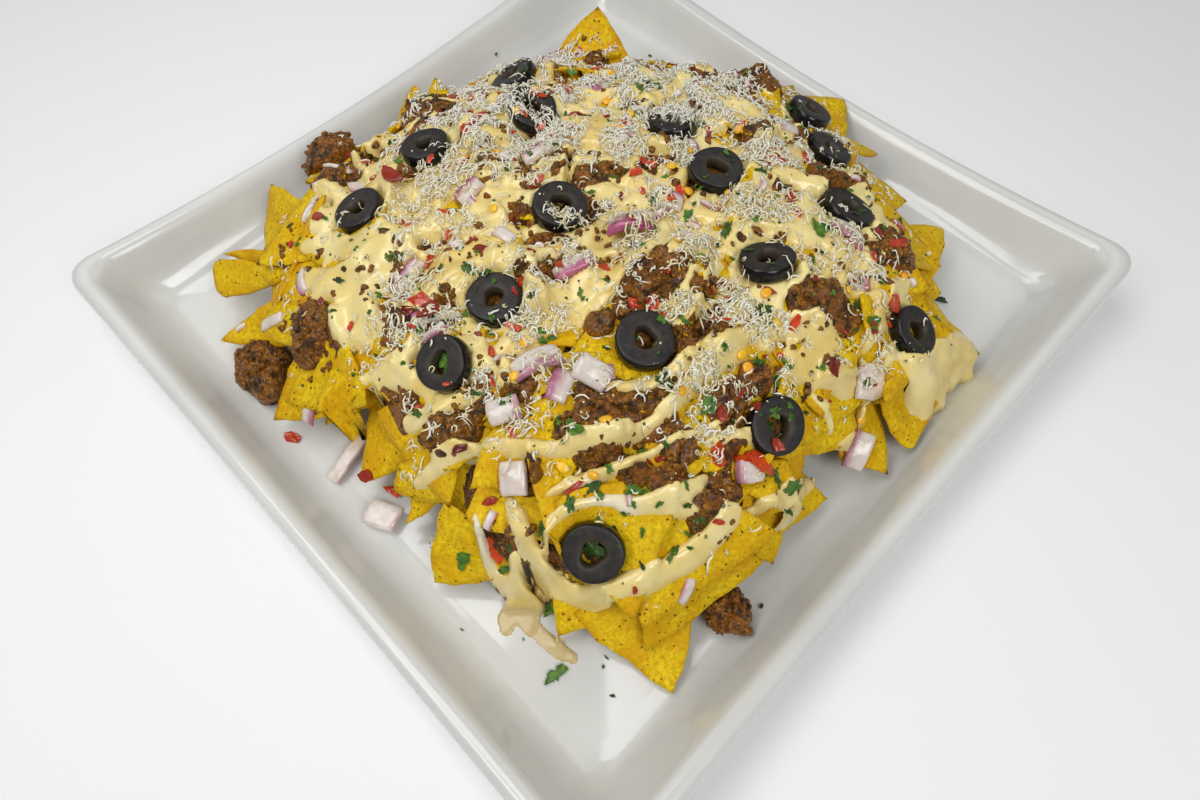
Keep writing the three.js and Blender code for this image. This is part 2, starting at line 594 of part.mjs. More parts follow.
// ---- heap: seeds and flakes, fused to what they lie on -----------------------------------------
groundAt = restingGround(heap);
const BIT_COUNT = 16;
const CLEAR_OF_TOPPINGS = 14;
function bits() {
  const random = seeded(23);
  const taken = [...OLIVES, ...ONIONS.map((o) => o.at), ...CLUMPS.map((c) => c.at)];
  const found = [];
  for (let i = 0; found.length < BIT_COUNT && i < 2000; i++) {
    const angle = random() * 2 * Math.PI;
    const out = Math.sqrt(random()) * 0.86 * reach(angle);
    const [u, v] = [out * Math.cos(angle), out * Math.sin(angle)];
    const size = 1.8 + random() * 1.4;
    const turn = random() * Math.PI;
    if (taken.some(([a, b]) => Math.hypot(a - u, b - v) < CLEAR_OF_TOPPINGS)) continue;
    const flake = new THREE.BoxGeometry(size * 2.2, size * 1.3, 1.8).rotateZ(turn);
    found.push(toSolid(flake.applyMatrix4(restingPose(u, v, 1.5, 0.3, 40))));
  }
  return found;
}
heap = mainBody(wasm.Manifold.union([heap, ...bits()]));
const heapMesh = new THREE.Mesh(toGeometry(heap), CHIP);
heapMesh.name = 'heap';
food.add(heapMesh);

// ---- what has fallen on the plate ---------------------------------------------------------------
function onPlate(u, v, lift, turn) {
  return new THREE.Matrix4().makeTranslation(u, v, FLOOR + GAP + lift)
    .multiply(new THREE.Matrix4().makeRotationZ(rad(turn)));
}
addPiece('onion_fallen_strip', onionGeometry([21, 5.5, 3], 0.6), onPlate(-93, -72, 2.9, 62), ONION);
addPiece('onion_fallen_piece', onionGeometry([13, 10, 3], 0.8), onPlate(-77, -95, 3.9, -20), ONION);
addPiece('beef_fallen', beefGeometry([8, 7, 5], 77), onPlate(44, -131, 6.4, 0), BEEF);

// a parsley leaf: a thin wavy star, both faces split alike
function leafGeometry(size) {
  const lobes = 10;
  const points = [[0, 0, 0.6], [0, 0, -0.2]];
  const faces = [];
  for (let i = 0; i < lobes; i++) {
    const angle = i * 2 * Math.PI / lobes;
    const out = size * (i % 2 ? 0.55 : 1) * (1 + 0.25 * Math.cos(angle));
    const wave = 0.5 * Math.cos(2 * angle);
    points.push([out * Math.cos(angle), out * 0.7 * Math.sin(angle), 0.5 + wave]);
    points.push([out * Math.cos(angle), out * 0.7 * Math.sin(angle), -0.3 + wave]);
  }
  for (let i = 0; i < lobes; i++) {
    const [a, b] = [2 + 2 * i, 2 + 2 * ((i + 1) % lobes)];
    faces.push([0, a, b], [1, b + 1, a + 1], [a, a + 1, b + 1], [a, b + 1, b]);
  }
  return fromPoints(points, faces);
}
addPiece('parsley_fallen', leafGeometry(5), onPlate(-14, -149, 1.0, -30), HERB);

const nachos = new THREE.Group();
nachos.add(plate, food);

export default nachos;
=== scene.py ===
"""Loaded nachos on a square glazed plate, as they look.

Shapes are worked out in the food's own frame, in millimetres: u runs across the plate from its
left corner to its right corner, v from its front corner to its back corner, z up from the table.
"""

import itertools
import math

import bpy
import numpy as np
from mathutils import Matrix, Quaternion, Vector
from mathutils.bvhtree import BVHTree


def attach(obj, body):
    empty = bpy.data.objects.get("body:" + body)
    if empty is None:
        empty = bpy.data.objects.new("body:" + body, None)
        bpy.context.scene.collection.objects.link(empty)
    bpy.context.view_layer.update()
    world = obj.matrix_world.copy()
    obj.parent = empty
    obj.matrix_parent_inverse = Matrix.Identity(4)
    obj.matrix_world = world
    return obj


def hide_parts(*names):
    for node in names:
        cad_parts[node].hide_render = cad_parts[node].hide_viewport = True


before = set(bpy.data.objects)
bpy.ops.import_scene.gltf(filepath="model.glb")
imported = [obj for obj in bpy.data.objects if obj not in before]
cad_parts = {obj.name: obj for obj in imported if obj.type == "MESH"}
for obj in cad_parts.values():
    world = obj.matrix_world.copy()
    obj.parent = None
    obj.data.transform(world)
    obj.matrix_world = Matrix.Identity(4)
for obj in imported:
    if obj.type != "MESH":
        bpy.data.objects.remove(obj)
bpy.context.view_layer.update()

# ---- sizes, as in the solids -----------------------------------------------------------------
PLATE_SIDE = 300
RIM_HEIGHT = 25
CORNER_RISE = 9.3
FLOOR = 8
FOOT_HALF = 104
CORNER_ROUND = 0.07
HEAP_TOP = 57
HEAP_LEAN = 0.09
CHIP_THICK = 2.2
CHIP_CORNER = 4.5
CORE_INSET = 7
OLIVE_HOLE = 4.2
OLIVE_THICK = 5.2
REACH_STEP = 20
REACH = [138, 132, 138, 130, 128, 126, 128, 124, 130, 138, 132, 108, 118, 136, 142, 124, 118, 138]
ROOT2 = math.sqrt(2)


def to_row(p):
    """Places in (u, v, z) millimetres as row-frame metres."""
    u, v, z = p[:, 0], p[:, 1], p[:, 2]
    return np.stack([(u + v) / ROOT2, (v - u) / ROOT2, z], 1) / 1000


def to_food(p):
    """Row-frame metres as (u, v, z) millimetres."""
    x, y, z = p[:, 0], p[:, 1], p[:, 2]
    return np.stack([(x - y) / ROOT2, (x + y) / ROOT2, z], 1) * 1000


# ---- numbers that repeat and noise -----------------------------------------------------------
WORD = 0xFFFFFFFF


class Draw:
    """The same small generator as the solids use, for numbers from 0 to 1."""

    def __init__(self, seed):
        self.state = seed

    def __call__(self):
        self.state = (self.state * 1664525 + 1013904223) & WORD
        return self.state / (WORD + 1)


def hashed(cell, seed):
    """A number from 0 to 1 for each whole-numbered cell."""
    c = cell.astype(np.int64)
    h = c[..., 0] * 374761393 + c[..., 1] * 668265263 + c[..., 2] * 1274126177 + seed * 974711
    h &= WORD
    h = ((h ^ (h >> 13)) * 1103515245) & WORD
    return ((h ^ (h >> 16)) & 0xFFFFFF) / 0xFFFFFF


def wave(p, size, seed):
    """Smooth noise from -1 to 1 whose lumps are about `size` wide."""
    q = np.asarray(p, float) / size
    cell = np.floor(q)
    f = q - cell
    f = f * f * (3 - 2 * f)
    total = 0
    for corner in itertools.product((0, 1), repeat=3):
        c = np.array(corner)
        weight = np.prod(np.where(c == 1, f, 1 - f), axis=-1)
        total = total + weight * hashed(cell + c, seed)
    return total * 2 - 1


def lumps(p, size, seed):
    """1 at the middle of each of many scattered lumps, down to 0 in the creases between them."""
    q = np.asarray(p, float) / size
    cell = np.floor(q)
    nearest = np.full(q.shape[:-1], 9.0)
    for corner in itertools.product((-1, 0, 1), repeat=3):
        c = cell + np.array(corner)
        middle = c + np.stack([hashed(c, seed + k) for k in (1, 2, 3)], -1)
        nearest = np.minimum(nearest, ((middle - q) ** 2).sum(-1))
    return np.clip(1 - nearest, 0, 1) ** 0.5


def smoothstep(low, high, x):
    """0 at `low`, 1 at `high` and smooth between; `low` may be the larger."""
    t = np.clip((x - low) / (high - low), 0, 1)
    return t * t * (3 - 2 * t)


def level(u, v):
    """The places (u, v) at height 0, for noise that runs across the plate."""
    return np.stack([u, v, 0 * u], -1)


def minced(p, seed):
    """Relief of minced beef in millimetres, and how deep in the creases each place is, from which the beef's look
    paints shade.
    """
    bent = p + np.stack([wave(p, 2.8, seed + 60 + axis) for axis in range(3)], -1)
    coarse = lumps(bent, 3.3, seed)
    fine = lumps(bent + 0.5 * wave(p, 1.1, seed + 70)[..., None], 1.7, seed + 7)
    relief = (1.5 * wave(p, 8, seed + 80) + 0.9 * wave(p, 4.5, seed + 85) + 1.7 * coarse + 0.8 * fine
              + 0.3 * wave(p, 0.9, seed + 90))
    return relief, np.clip(1.15 - 0.85 * coarse - 0.4 * fine, 0, 1)


def spline(p, i, t, first=0):
    """A smooth curve through the rows of p from `first` on, at share t from row i to the next."""
    before, a, b, after = p[max(i - 1, first)], p[i], p[i + 1], p[min(i + 2, len(p) - 1)]
    return 0.5 * (2 * a + (b - before) * t + (2 * before - 5 * a + 4 * b - after) * t ** 2
                  + (3 * a - before - 3 * b + after) * t ** 3)


# ---- meshes ----------------------------------------------------------------------------------
class Shape:
    """Vertices and faces gathered from many parts, with named values at the vertices."""

    def __init__(self):
        self.verts = []
        self.tris = []
        self.quads = []
        self.values = []
        self.count = 0

    def add(self, verts, tris=None, quads=None, **values):
        verts = np.asarray(verts, float)
        if tris is not None and len(tris):
            self.tris.append(np.asarray(tris) + self.count)
        if quads is not None and len(quads):
            self.quads.append(np.asarray(quads) + self.count)
        self.verts.append(verts)
        self.values.append({k: np.broadcast_to(v, len(verts)) for k, v in values.items()})
        self.count += len(verts)

    def points(self):
        return np.concatenate(self.verts)

    def faces(self):
        tris = np.concatenate(self.tris) if self.tris else np.zeros((0, 3), int)
        quads = np.concatenate(self.quads) if self.quads else np.zeros((0, 4), int)
        return tris, quads

    def polygons(self):
        tris, quads = self.faces()
        return tris.tolist() + quads.tolist()


def piece(name, shape, look, replaces=(), smooth=True):
    """One shown piece of the object, made from a shape in the food's frame."""
    tris, quads = shape.faces()
    mesh = bpy.data.meshes.new(name)
    mesh.vertices.add(shape.count)
    mesh.vertices.foreach_set("co", to_row(shape.points()).astype(np.float32).ravel())
    corners = np.concatenate([tris.ravel(), quads.ravel()]).astype(np.int32)
    starts = np.concatenate([
        np.arange(len(tris)) * 3,
        len(tris) * 3 + np.arange(len(quads)) * 4,
    ]).astype(np.int32)
    mesh.loops.add(len(corners))
    mesh.loops.foreach_set("vertex_index", corners)
    mesh.polygons.add(len(starts))
    mesh.polygons.foreach_set("loop_start", starts)
    mesh.update(calc_edges=True)
    mesh.validate()
    for key in sorted({k for values in shape.values for k in values}):
        layer = mesh.attributes.new(key, "FLOAT", "POINT")
        made = [v.get(key, np.zeros(len(p))) for v, p in zip(shape.values, shape.verts)]
        layer.data.foreach_set("value", np.concatenate(made).astype(np.float32))
    mesh.polygons.foreach_set("use_smooth", np.full(len(mesh.polygons), smooth))
    mesh.materials.append(look)
    thing = bpy.data.objects.new(name, mesh)
    bpy.context.scene.collection.objects.link(thing)
    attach(thing, "root")
    if replaces:
        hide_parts(*replaces)
    return thing


def node_points(name):
    """The vertices of a solid, in the food's frame."""
    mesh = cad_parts[name].data
    co = np.zeros(len(mesh.vertices) * 3, np.float32)
    mesh.vertices.foreach_get("co", co)
    return to_food(co.reshape(-1, 3).astype(float))


def node_tree(name):
    """The solid as something that rays can hit."""
    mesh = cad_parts[name].data
    return BVHTree.FromPolygons(node_points(name).tolist(), [list(p.vertices) for p in mesh.polygons])


def grid_faces(rows, columns, joined, looped=False):
    """Quads of a grid of vertices; `joined` closes each row on itself, `looped` the rows as well."""
    i, j = np.meshgrid(np.arange(rows if looped else rows - 1), np.arange(columns if joined else columns - 1),
                       indexing="ij")
    this, following, across = i * columns, (i + 1) % rows * columns, (j + 1) % columns
    return np.stack([this + j, this + across, following + across, following + j], -1).reshape(-1, 4)


def ball(parts):
    """Unit directions and triangles of an icosahedron whose edges are split into `parts`."""
    g = (1 + 5 ** 0.5) / 2
    corners = np.array([(-1, g, 0), (1, g, 0), (-1, -g, 0), (1, -g, 0), (0, -1, g), (0, 1, g),
                        (0, -1, -g), (0, 1, -g), (g, 0, -1), (g, 0, 1), (-g, 0, -1), (-g, 0, 1)])
    faces = [(0, 11, 5), (0, 5, 1), (0, 1, 7), (0, 7, 10), (0, 10, 11), (1, 5, 9), (5, 11, 4),
             (11, 10, 2), (10, 7, 6), (7, 1, 8), (3, 9, 4), (3, 4, 2), (3, 2, 6), (3, 6, 8),
             (3, 8, 9), (4, 9, 5), (2, 4, 11), (6, 2, 10), (8, 6, 7), (9, 8, 1)]
    index = {}
    verts = []
    tris = []

    def vertex(a, b, c, i, j):
        p = (corners[a] * (parts - i) + corners[b] * (i - j) + corners[c] * j) / parts
        key = tuple(np.round(p, 6) + 0.0)
        if key not in index:
            index[key] = len(verts)
            verts.append(p / np.linalg.norm(p))
        return index[key]

    for a, b, c in faces:
        rows = [[vertex(a, b, c, i, j) for j in range(i + 1)] for i in range(parts + 1)]
        for i in range(parts):
            for j in range(i + 1):
                tris.append((rows[i][j], rows[i + 1][j], rows[i + 1][j + 1]))
                if j < i:
                    tris.append((rows[i][j], rows[i + 1][j + 1], rows[i][j + 1]))
    return np.array(verts), np.array(tris)


# ---- materials -------------------------------------------------------------------------------
def colour(red, green, blue):
    """A colour given as it is shown, 0 to 255, as linear light."""
    c = np.array([red, green, blue]) / 255
    linear = np.where(c <= 0.04045, c / 12.92, ((c + 0.055) / 1.055) ** 2.4)
    return (*linear.tolist(), 1.0)


class Look:
    """A material with one surface shader, and short names for the nodes that feed it."""

    def __init__(self, name, roughness=0.5, **surface):
        self.material = bpy.data.materials.new(name)
        self.material.use_nodes = True
        self.tree = self.material.node_tree
        self.tree.nodes.clear()
        out = self.tree.nodes.new("ShaderNodeOutputMaterial")
        self.surface = self.tree.nodes.new("ShaderNodeBsdfPrincipled")
        self.tree.links.new(self.surface.outputs[0], out.inputs[0])
        self.place = self.tree.nodes.new("ShaderNodeTexCoord").outputs["Object"]
        self.set("Roughness", roughness)
        for key, value in surface.items():
            self.set(key.replace("_", " "), value)

    def feed(self, socket, value):
        """Links a socket, or sets it to a plain value."""
        if isinstance(value, bpy.types.NodeSocket):
            self.tree.links.new(value, socket)
        else:
            socket.default_value = value

    def set(self, name, value):
        """Gives the surface shader's input of that name a value or a link."""
        self.feed(self.surface.inputs[name], value)

    def noise(self, size, detail, rough=0.55, distortion=0.0):
        """Noise whose lumps are about `size` millimetres wide."""
        node = self.tree.nodes.new("ShaderNodeTexNoise")
        self.feed(node.inputs["Vector"], self.place)
        settings = {"Scale": 1000 / size, "Detail": detail, "Roughness": rough, "Distortion": distortion}
        for key, value in settings.items():
            node.inputs[key].default_value = value
        return node.outputs["Fac"]

    def spots(self, size):
        """Distance to the nearest of many scattered points about `size` millimetres apart."""
        node = self.tree.nodes.new("ShaderNodeTexVoronoi")
        self.feed(node.inputs["Vector"], self.place)
        node.inputs["Scale"].default_value = 1000 / size
        return node.outputs["Distance"]

    def value(self, name):
        """What the mesh holds for each point under that name."""
        node = self.tree.nodes.new("ShaderNodeAttribute")
        node.attribute_name = name
        return node.outputs["Fac"]

    def math(self, kind, a, b):
        """A sum, product or the like of two values."""
        node = self.tree.nodes.new("ShaderNodeMath")
        node.operation = kind
        self.feed(node.inputs[0], a)
        self.feed(node.inputs[1], b)
        return node.outputs[0]

    def span(self, x, low, high, start, end):
        """The values of x from `low` to `high`, spread from `start` to `end`."""
        node = self.tree.nodes.new("ShaderNodeMapRange")
        self.feed(node.inputs["Value"], x)
        for key, value in (("From Min", low), ("From Max", high), ("To Min", start), ("To Max", end)):
            node.inputs[key].default_value = value
        return node.outputs[0]

    def patches(self, size, detail, low, high, start=0.0, end=1.0, **kind):
        """Noise whose values from `low` to `high` are spread from `start` to `end`."""
        return self.span(self.noise(size, detail, **kind), low, high, start, end)

    def mix(self, share, a, b):
        """Two colours mixed, each a socket or red, green and blue from 0 to 255."""
        node = self.tree.nodes.new("ShaderNodeMix")
        node.data_type = "RGBA"
        self.feed(node.inputs[0], share)
        for slot, shown in ((6, a), (7, b)):
            self.feed(node.inputs[slot], colour(*shown) if isinstance(shown, tuple) else shown)
        return node.outputs[2]

    def bump(self, height, depth):
        """Relief `depth` millimetres deep on top of what is already there."""
        node = self.tree.nodes.new("ShaderNodeBump")
        node.inputs["Distance"].default_value = depth / 1000
        self.feed(node.inputs["Height"], height)
        before = self.surface.inputs["Normal"]
        if before.is_linked:
            self.feed(node.inputs["Normal"], before.links[0].from_socket)
        self.feed(before, node.outputs[0])


def glaze_look():
    """White glaze."""
    look = Look("glaze", Coat_Weight=0.35, Coat_Roughness=0.05)
    look.set("Base Color", look.mix(look.patches(60, 2, 0.35, 0.65), (215, 215, 211), (223, 223, 218)))
    look.set("Roughness", look.patches(18, 3, 0.3, 0.7, 0.10, 0.20))
    look.bump(look.noise(26, 2), 0.10)
    return look.material


def chip_look():
    """Fried corn dough, with amber patches."""
    look = Look("corn_chip", Specular_IOR_Level=0.12)
    base = look.mix(look.patches(1.5, 4, 0.3, 0.7, rough=0.7), (198, 152, 2), (255, 224, 36))
    amber = look.patches(13, 3, 0.42, 0.66, 0, 0.7, rough=0.6, distortion=0.4)
    base = look.mix(amber, base, (214, 158, 5))
    toast = look.math("MULTIPLY", look.value("toast"), look.patches(7, 4, 0.38, 0.62, rough=0.65))
    base = look.mix(toast, base, (200, 112, 18))
    speck = look.math("ADD", look.spots(2.3), look.patches(5, 2, 0.35, 0.65, -0.07, 0.15))
    base = look.mix(look.span(speck, 0.13, 0.20, 0.85, 0), base, (96, 52, 16))
    burn = look.math("MULTIPLY", look.value("burn"), look.patches(3, 3, 0.3, 0.5))
    look.set("Base Color", look.mix(burn, base, (84, 38, 14)))
    look.set("Roughness", look.patches(6, 3, 0.3, 0.7, 0.42, 0.62))
    look.bump(look.noise(4, 3, 0.6), 0.6)
    look.bump(look.noise(1.2, 4, 0.65), 0.46)
    return look.material


def beef_look(name, dark, light):
    """Minced beef, its colour varying at random, with painted shade darkening its creases and painted highlights on
    its fine grains.
    """
    look = Look(name, Specular_IOR_Level=0.36, Coat_Weight=0.18, Coat_Roughness=0.12)
    base = look.mix(look.patches(2.2, 5, 0.38, 0.62, rough=0.75, distortion=0.3), dark, light)
    # painted highlight: fine bright orange patches standing in for glints on the wet grains
    base = look.mix(look.patches(0.9, 3, 0.54, 0.66, 0, 0.8), base, (210, 138, 34))
    base = look.mix(look.patches(7, 2, 0.48, 0.66, 0, 0.5), base, (140, 76, 18))
    base = look.mix(look.patches(4.5, 2, 0.54, 0.62, 0, 0.75), base, (34, 20, 8))
    # painted shade: the deeper in a crease, the nearer the beef's colour goes to near black
    painted_crease_shade = look.span(look.value("deep"), 0.3, 0.85, 0, 0.9)
    look.set("Base Color", look.mix(painted_crease_shade, base, (22, 11, 4)))
    look.set("Roughness", look.patches(2, 2, 0.35, 0.65, 0.2, 0.55))
    look.bump(look.noise(1.6, 5, 0.75), 0.8)
    look.bump(look.noise(0.7, 3, 0.7), 0.25)
    return look.material


def sauce_look():
    """Pale creamy sauce with orange specks, duller where it is thin."""
    look = Look("creamy_sauce", 0.27, Coat_Weight=0.35, Coat_Roughness=0.08, Subsurface_Weight=0.1,
                Subsurface_Radius=(1.0, 0.7, 0.35), Subsurface_Scale=0.0015)
    base = look.mix(look.patches(22, 2, 0.35, 0.65), (232, 204, 118), (247, 228, 158))
    base = look.mix(look.span(look.spots(3.6), 0.04, 0.08, 0.7, 0), base, (196, 112, 40))
    base = look.mix(look.value("cream"), base, (240, 230, 204))
    look.set("Base Color", look.mix(look.value("thin"), base, (198, 176, 122)))
    look.bump(look.noise(4, 2), 0.22)
    return look.material


def cheese_look():
    """White cheese."""
    look = Look("grated_cheese")
    look.set("Base Color", look.mix(look.value("tint"), (250, 248, 236), (244, 230, 176)))
    return look.material


def olive_look():
    """Black olive, with a paler inside."""
    look = Look("black_olive", Specular_IOR_Level=0.4)
    cut = look.mix(look.patches(2.4, 3, 0.3, 0.7), (31, 28, 28), (54, 49, 46))
    cut = look.mix(look.value("inner"), cut, (66, 56, 42))
    look.set("Base Color", look.mix(look.value("skin"), cut, (16, 14, 15)))
    look.set("Roughness", look.math("SUBTRACT", 0.5, look.math("MULTIPLY", look.value("skin"), 0.28)))
    look.bump(look.noise(1.3, 3), 0.12)
    return look.material


def onion_look():
    """Onion from white to purple."""
    look = Look("red_onion", 0.22, Coat_Weight=0.3, Coat_Roughness=0.1, Subsurface_Weight=0.35,
                Subsurface_Radius=(1.0, 0.65, 0.7), Subsurface_Scale=0.002)
    streak = look.patches(3.5, 3, 0.3, 0.7)
    white = look.mix(streak, (214, 198, 188), (232, 224, 214))
    purple = look.mix(streak, (158, 60, 104), (196, 112, 150))
    look.set("Base Color", look.mix(look.value("purple"), white, purple))
    look.bump(look.noise(2.5, 2), 0.2)
    return look.material


def pepper_look():
    """Chilli from fresh to dried."""
    look = Look("chilli_flakes", 0.28, Coat_Weight=0.3, Coat_Roughness=0.15)
    fresh = look.mix(look.patches(2, 3, 0.3, 0.7), (190, 34, 14), (224, 84, 26))
    look.set("Base Color", look.mix(look.value("dried"), fresh, (98, 22, 12)))
    look.bump(look.noise(1.2, 2), 0.2)
    return look.material


def seed_look():
    """Yellow chilli seeds."""
    look = Look("chilli_seeds", 0.3, Coat_Weight=0.3, Coat_Roughness=0.15)
    look.set("Base Color", look.mix(look.value("tint"), (250, 200, 36), (244, 170, 26)))
    return look.material


def herb_look():
    """Parsley from fresh to dried."""
    look = Look("parsley", 0.42)
    leaf = look.mix(look.patches(2.5, 3, 0.3, 0.7), (36, 86, 14), (106, 148, 40))
    look.set("Base Color", look.mix(look.value("dried"), leaf, (34, 60, 20)))
    look.bump(look.noise(1.2, 2), 0.2)
    return look.material


# ---- plate -----------------------------------------------------------------------------------
QUARTER_TURNS = ((1, 0), (0, 1), (-1, 0), (0, -1))  # cosine and sine of each


def square_ring(half, z, lift, side_steps=44, arc_steps=12):
    """One ring of a square with rounded corners whose corners lift by `lift`, in row millimetres."""
    rounding = half * CORNER_ROUND
    flat = half - rounding
    along = -flat + 2 * flat * np.arange(side_steps) / side_steps
    side = np.stack([np.full(side_steps, half), along], 1)
    angle = np.pi / 2 * np.arange(arc_steps) / arc_steps
    arc = np.stack([flat + rounding * np.cos(angle), flat + rounding * np.sin(angle)], 1)
    local = np.concatenate([side, arc])
    rise = lift * (np.abs(local).min(1) / half) ** 2
    x, y = local.T
    return np.concatenate([np.stack([x * c - y * s, x * s + y * c, z + rise], 1) for c, s in QUARTER_TURNS])


HALF = PLATE_SIDE / 2
FOOT_HOLLOW = 2.6
# rows of the plate's section: half width, height, and share of the corners' rise
INNER_FACE = [
    (HALF - 6, RIM_HEIGHT - 0.5, 1),
    (HALF - 8.5, RIM_HEIGHT - 2.6, 0.97),
    (HALF - 11.5, RIM_HEIGHT - 7.2, 0.8),
    (HALF - 15.5, FLOOR + 4.4, 0.42),
    (HALF - 21, FLOOR + 1.2, 0.1),
    (HALF - 28, FLOOR, 0),
]
PROFILE = [
    (FOOT_HALF - 10, FOOT_HOLLOW, 0),
    (FOOT_HALF - 7, 0, 0),
    (FOOT_HALF - 1, 0, 0),
    (FOOT_HALF + 2, 2.2, 0),
    (HALF - 17, 5.4, 0.2),
    (HALF - 7, 12.6, 0.65),
    (HALF - 1.2, RIM_HEIGHT - 6.2, 0.95),
    (HALF, RIM_HEIGHT - 3.6, 1),
    (HALF - 0.8, RIM_HEIGHT - 1.3, 1),
    (HALF - 3, RIM_HEIGHT, 1),
    *INNER_FACE,
]
FIRST_CURVED = 4  # the foot ring before this row keeps its edges


def curved(rows, steps=6):
    """The profile as a smooth curve through its rows."""
    p = np.array(rows, float)
    start = FIRST_CURVED - 1
    fine = [spline(p, i, k / steps, start) for i in range(start, len(p) - 1) for k in range(1, steps + 1)]
    return np.concatenate([p[:FIRST_CURVED], fine])


def plate_shape():
    rings = [square_ring(half, z, share * CORNER_RISE) for half, z, share in curved(PROFILE)]
    count = len(rings[0])
    ring_points = np.concatenate(rings)
    points = np.concatenate([ring_points, [[0, 0, FOOT_HOLLOW], [0, 0, FLOOR]]])
    i = np.arange(count)
    last = (len(rings) - 1) * count
    under = np.stack([np.full(count, len(points) - 2), (i + 1) % count, i], 1)
    over = np.stack([last + i, last + (i + 1) % count, np.full(count, len(points) - 1)], 1)
    shape = Shape()
    shape.add(to_food(points / 1000), np.concatenate([under, over]), grid_faces(len(rings), count, True))
    return shape


# ---- heap: the core --------------------------------------------------------------------------
def reach(angle):
    """How far out the heap reaches at a bearing in radians."""
    place = np.degrees(angle) % 360 / REACH_STEP
    i = np.floor(place).astype(int) % len(REACH)
    t = smoothstep(0, 1, place - np.floor(place))
    table = np.array(REACH, float)
    return table[i] * (1 - t) + table[(i + 1) % len(REACH)] * t


def reach_share(u, v):
    """How far out a place is, as a share of the heap's reach in its direction."""
    return np.hypot(u, v) / reach(np.arctan2(v, u))


def heap_height(u, v):
    share = reach_share(u, v)
    top = FLOOR + (HEAP_TOP - HEAP_LEAN * v) * (1 - np.minimum(share, 1) ** 3.2) ** 0.55
    return np.where(share >= 1, FLOOR, top)


def unevenness(u, v):
    return (1.6 * np.sin(u * 0.13 + 1.1) * np.cos(v * 0.11 - 0.4)
            + 1.2 * np.sin(u * 0.05 - v * 0.17 + 2.0) + 0.8 * np.cos(u * 0.21 + v * 0.19))


def core_shape(rings=64, around=200):
    """The dome that the chips cover: minced beef packed between them."""
    base = FLOOR + 0.2
    steep = np.linspace(0, np.pi / 2, rings)[:, None]
    bearing = np.linspace(0, 2 * np.pi, around, endpoint=False)[None]
    out = np.sin(steep) * (reach(bearing) - CORE_INSET - 9)
    u, v = out * np.cos(bearing), out * np.sin(bearing)
    sunk = 6 + 5 * smoothstep(0.6, 0.95, np.hypot(u, v) / reach(bearing))
    z = np.maximum(heap_height(u, v) - sunk + unevenness(u, v), base)
    dome = np.stack([u, v, z], -1).reshape(-1, 3)[around - 1:]  # the inmost ring as one place
    p = np.vstack([dome, [0, 0, base]])
    normal = np.column_stack([p[:, :2] * 0.6, np.full(len(p), 20)])
    normal /= np.linalg.norm(normal, axis=1)[:, None]
    relief, deep = minced(p, 3)
    low = smoothstep(FLOOR, FLOOR + 6, p[:, 2])
    p = p + normal * (relief * low)[:, None]
    here = np.arange(around)
    after = (here + 1) % around
    top, foot = here * 0, here * 0 + len(dome)
    inmost, outmost = 1, len(dome) - around
    ends = np.vstack([np.column_stack([top, inmost + here, inmost + after]),
                      np.column_stack([foot, outmost + after, outmost + here])])
    shape = Shape()
    shape.add(p, tris=ends, quads=grid_faces(rings - 1, around, True)[:, [0, 3, 2, 1]] + 1, deep=deep)
    return shape


# ---- heap: the chips -------------------------------------------------------------------------
# place of the tip, heading, rise, roll, length, width, curl, and whether it curls across
EDGE_CHIPS = [
    ((26, -159, 9), 112, 22, -12, 42, 50, 3, False),
    ((-15, -141, 14), 52, 29, 21, 48, 55, 2, False),
    ((13, -147, 18), 58, 24, 38, 50, 48, 8, True),
    ((-38, -120, 14), 88, 43, -2, 40, 30, -2, False),
    ((-58, -121, 11), 30, 40, 25, 34, 42, 2, False),
    ((-68, -102, 14), 42, 44, 3, 42, 22, 3, False),
    ((-56, -78, 12), 119, 34, -40, 36, 44, -2, False),
    ((-80, -64, 10), 92, 4, -8, 32, 38, 2, False),
    ((-127, -61, 15), 25, 28, 12, 57, 54, -4, False),
    ((-156, -22, 12), 1, 23, 33, 46, 26, -2, True),
    ((-106, -11, 44), 162, -26, -43, 58, 20, 2, False),
    ((-156, 13, 26), -18, 13, 66, 44, 14, 1, False),
    ((-97, 5, 50), 146, -28, -40, 58, 34, 3, True),
    ((-116, 76, 20), -65, 26, 10, 38, 44, 7, True),
    ((-96, 80, 12), -50, 14, -4, 46, 50, 2, False),
    ((-77, 88, 50), -89, -34, 36, 42, 48, 4, True),
    ((-68, 94, 46), -88, -24, 24, 40, 44, 2, False),
    ((-34, 107, 40), -88, -12, 14, 36, 40, 2, False),
    ((-20, 122, 14), -90, 12, 8, 46, 52, 3, False),
    ((2, 132, 52), -98, -25, 0, 54, 68, -4, True),
    ((36, 124, 16), -100, 14, -8, 46, 50, 2, False),
    ((66, 108, 31), -110, 8, -10, 36, 44, -2, False),
    ((84, 100, 14), -130, 10, 6, 46, 50, 3, False),
    ((115, 97, 23), -134, 18, -6, 42, 50, 2, False),
    ((126, 51, 15), -140, 34, -12, 36, 42, 3, False),
    ((149, 28, 20), -141, 14, -4, 44, 40, -3, False),
    ((139, -9, 18), 180, 34, -16, 34, 40, 2, False),
    ((150, -37, 17), 165, 28, 14, 34, 40, 2, False),
    ((114, -76, 12), 90, 34, 28, 30, 42, 2, False),
    ((106, -85, 12), 125, 31, 13, 38, 44, 3, False),
    ((71, -96, 19), 153, 52, -30, 36, 46, -2, False),
    ((86, -91, 13), -176, 24, -24, 42, 44, 4, True),
    ((62, -117, 10), 118, 42, -2, 34, 38, 2, False),
]


GOLDEN_ANGLE = 2.39996


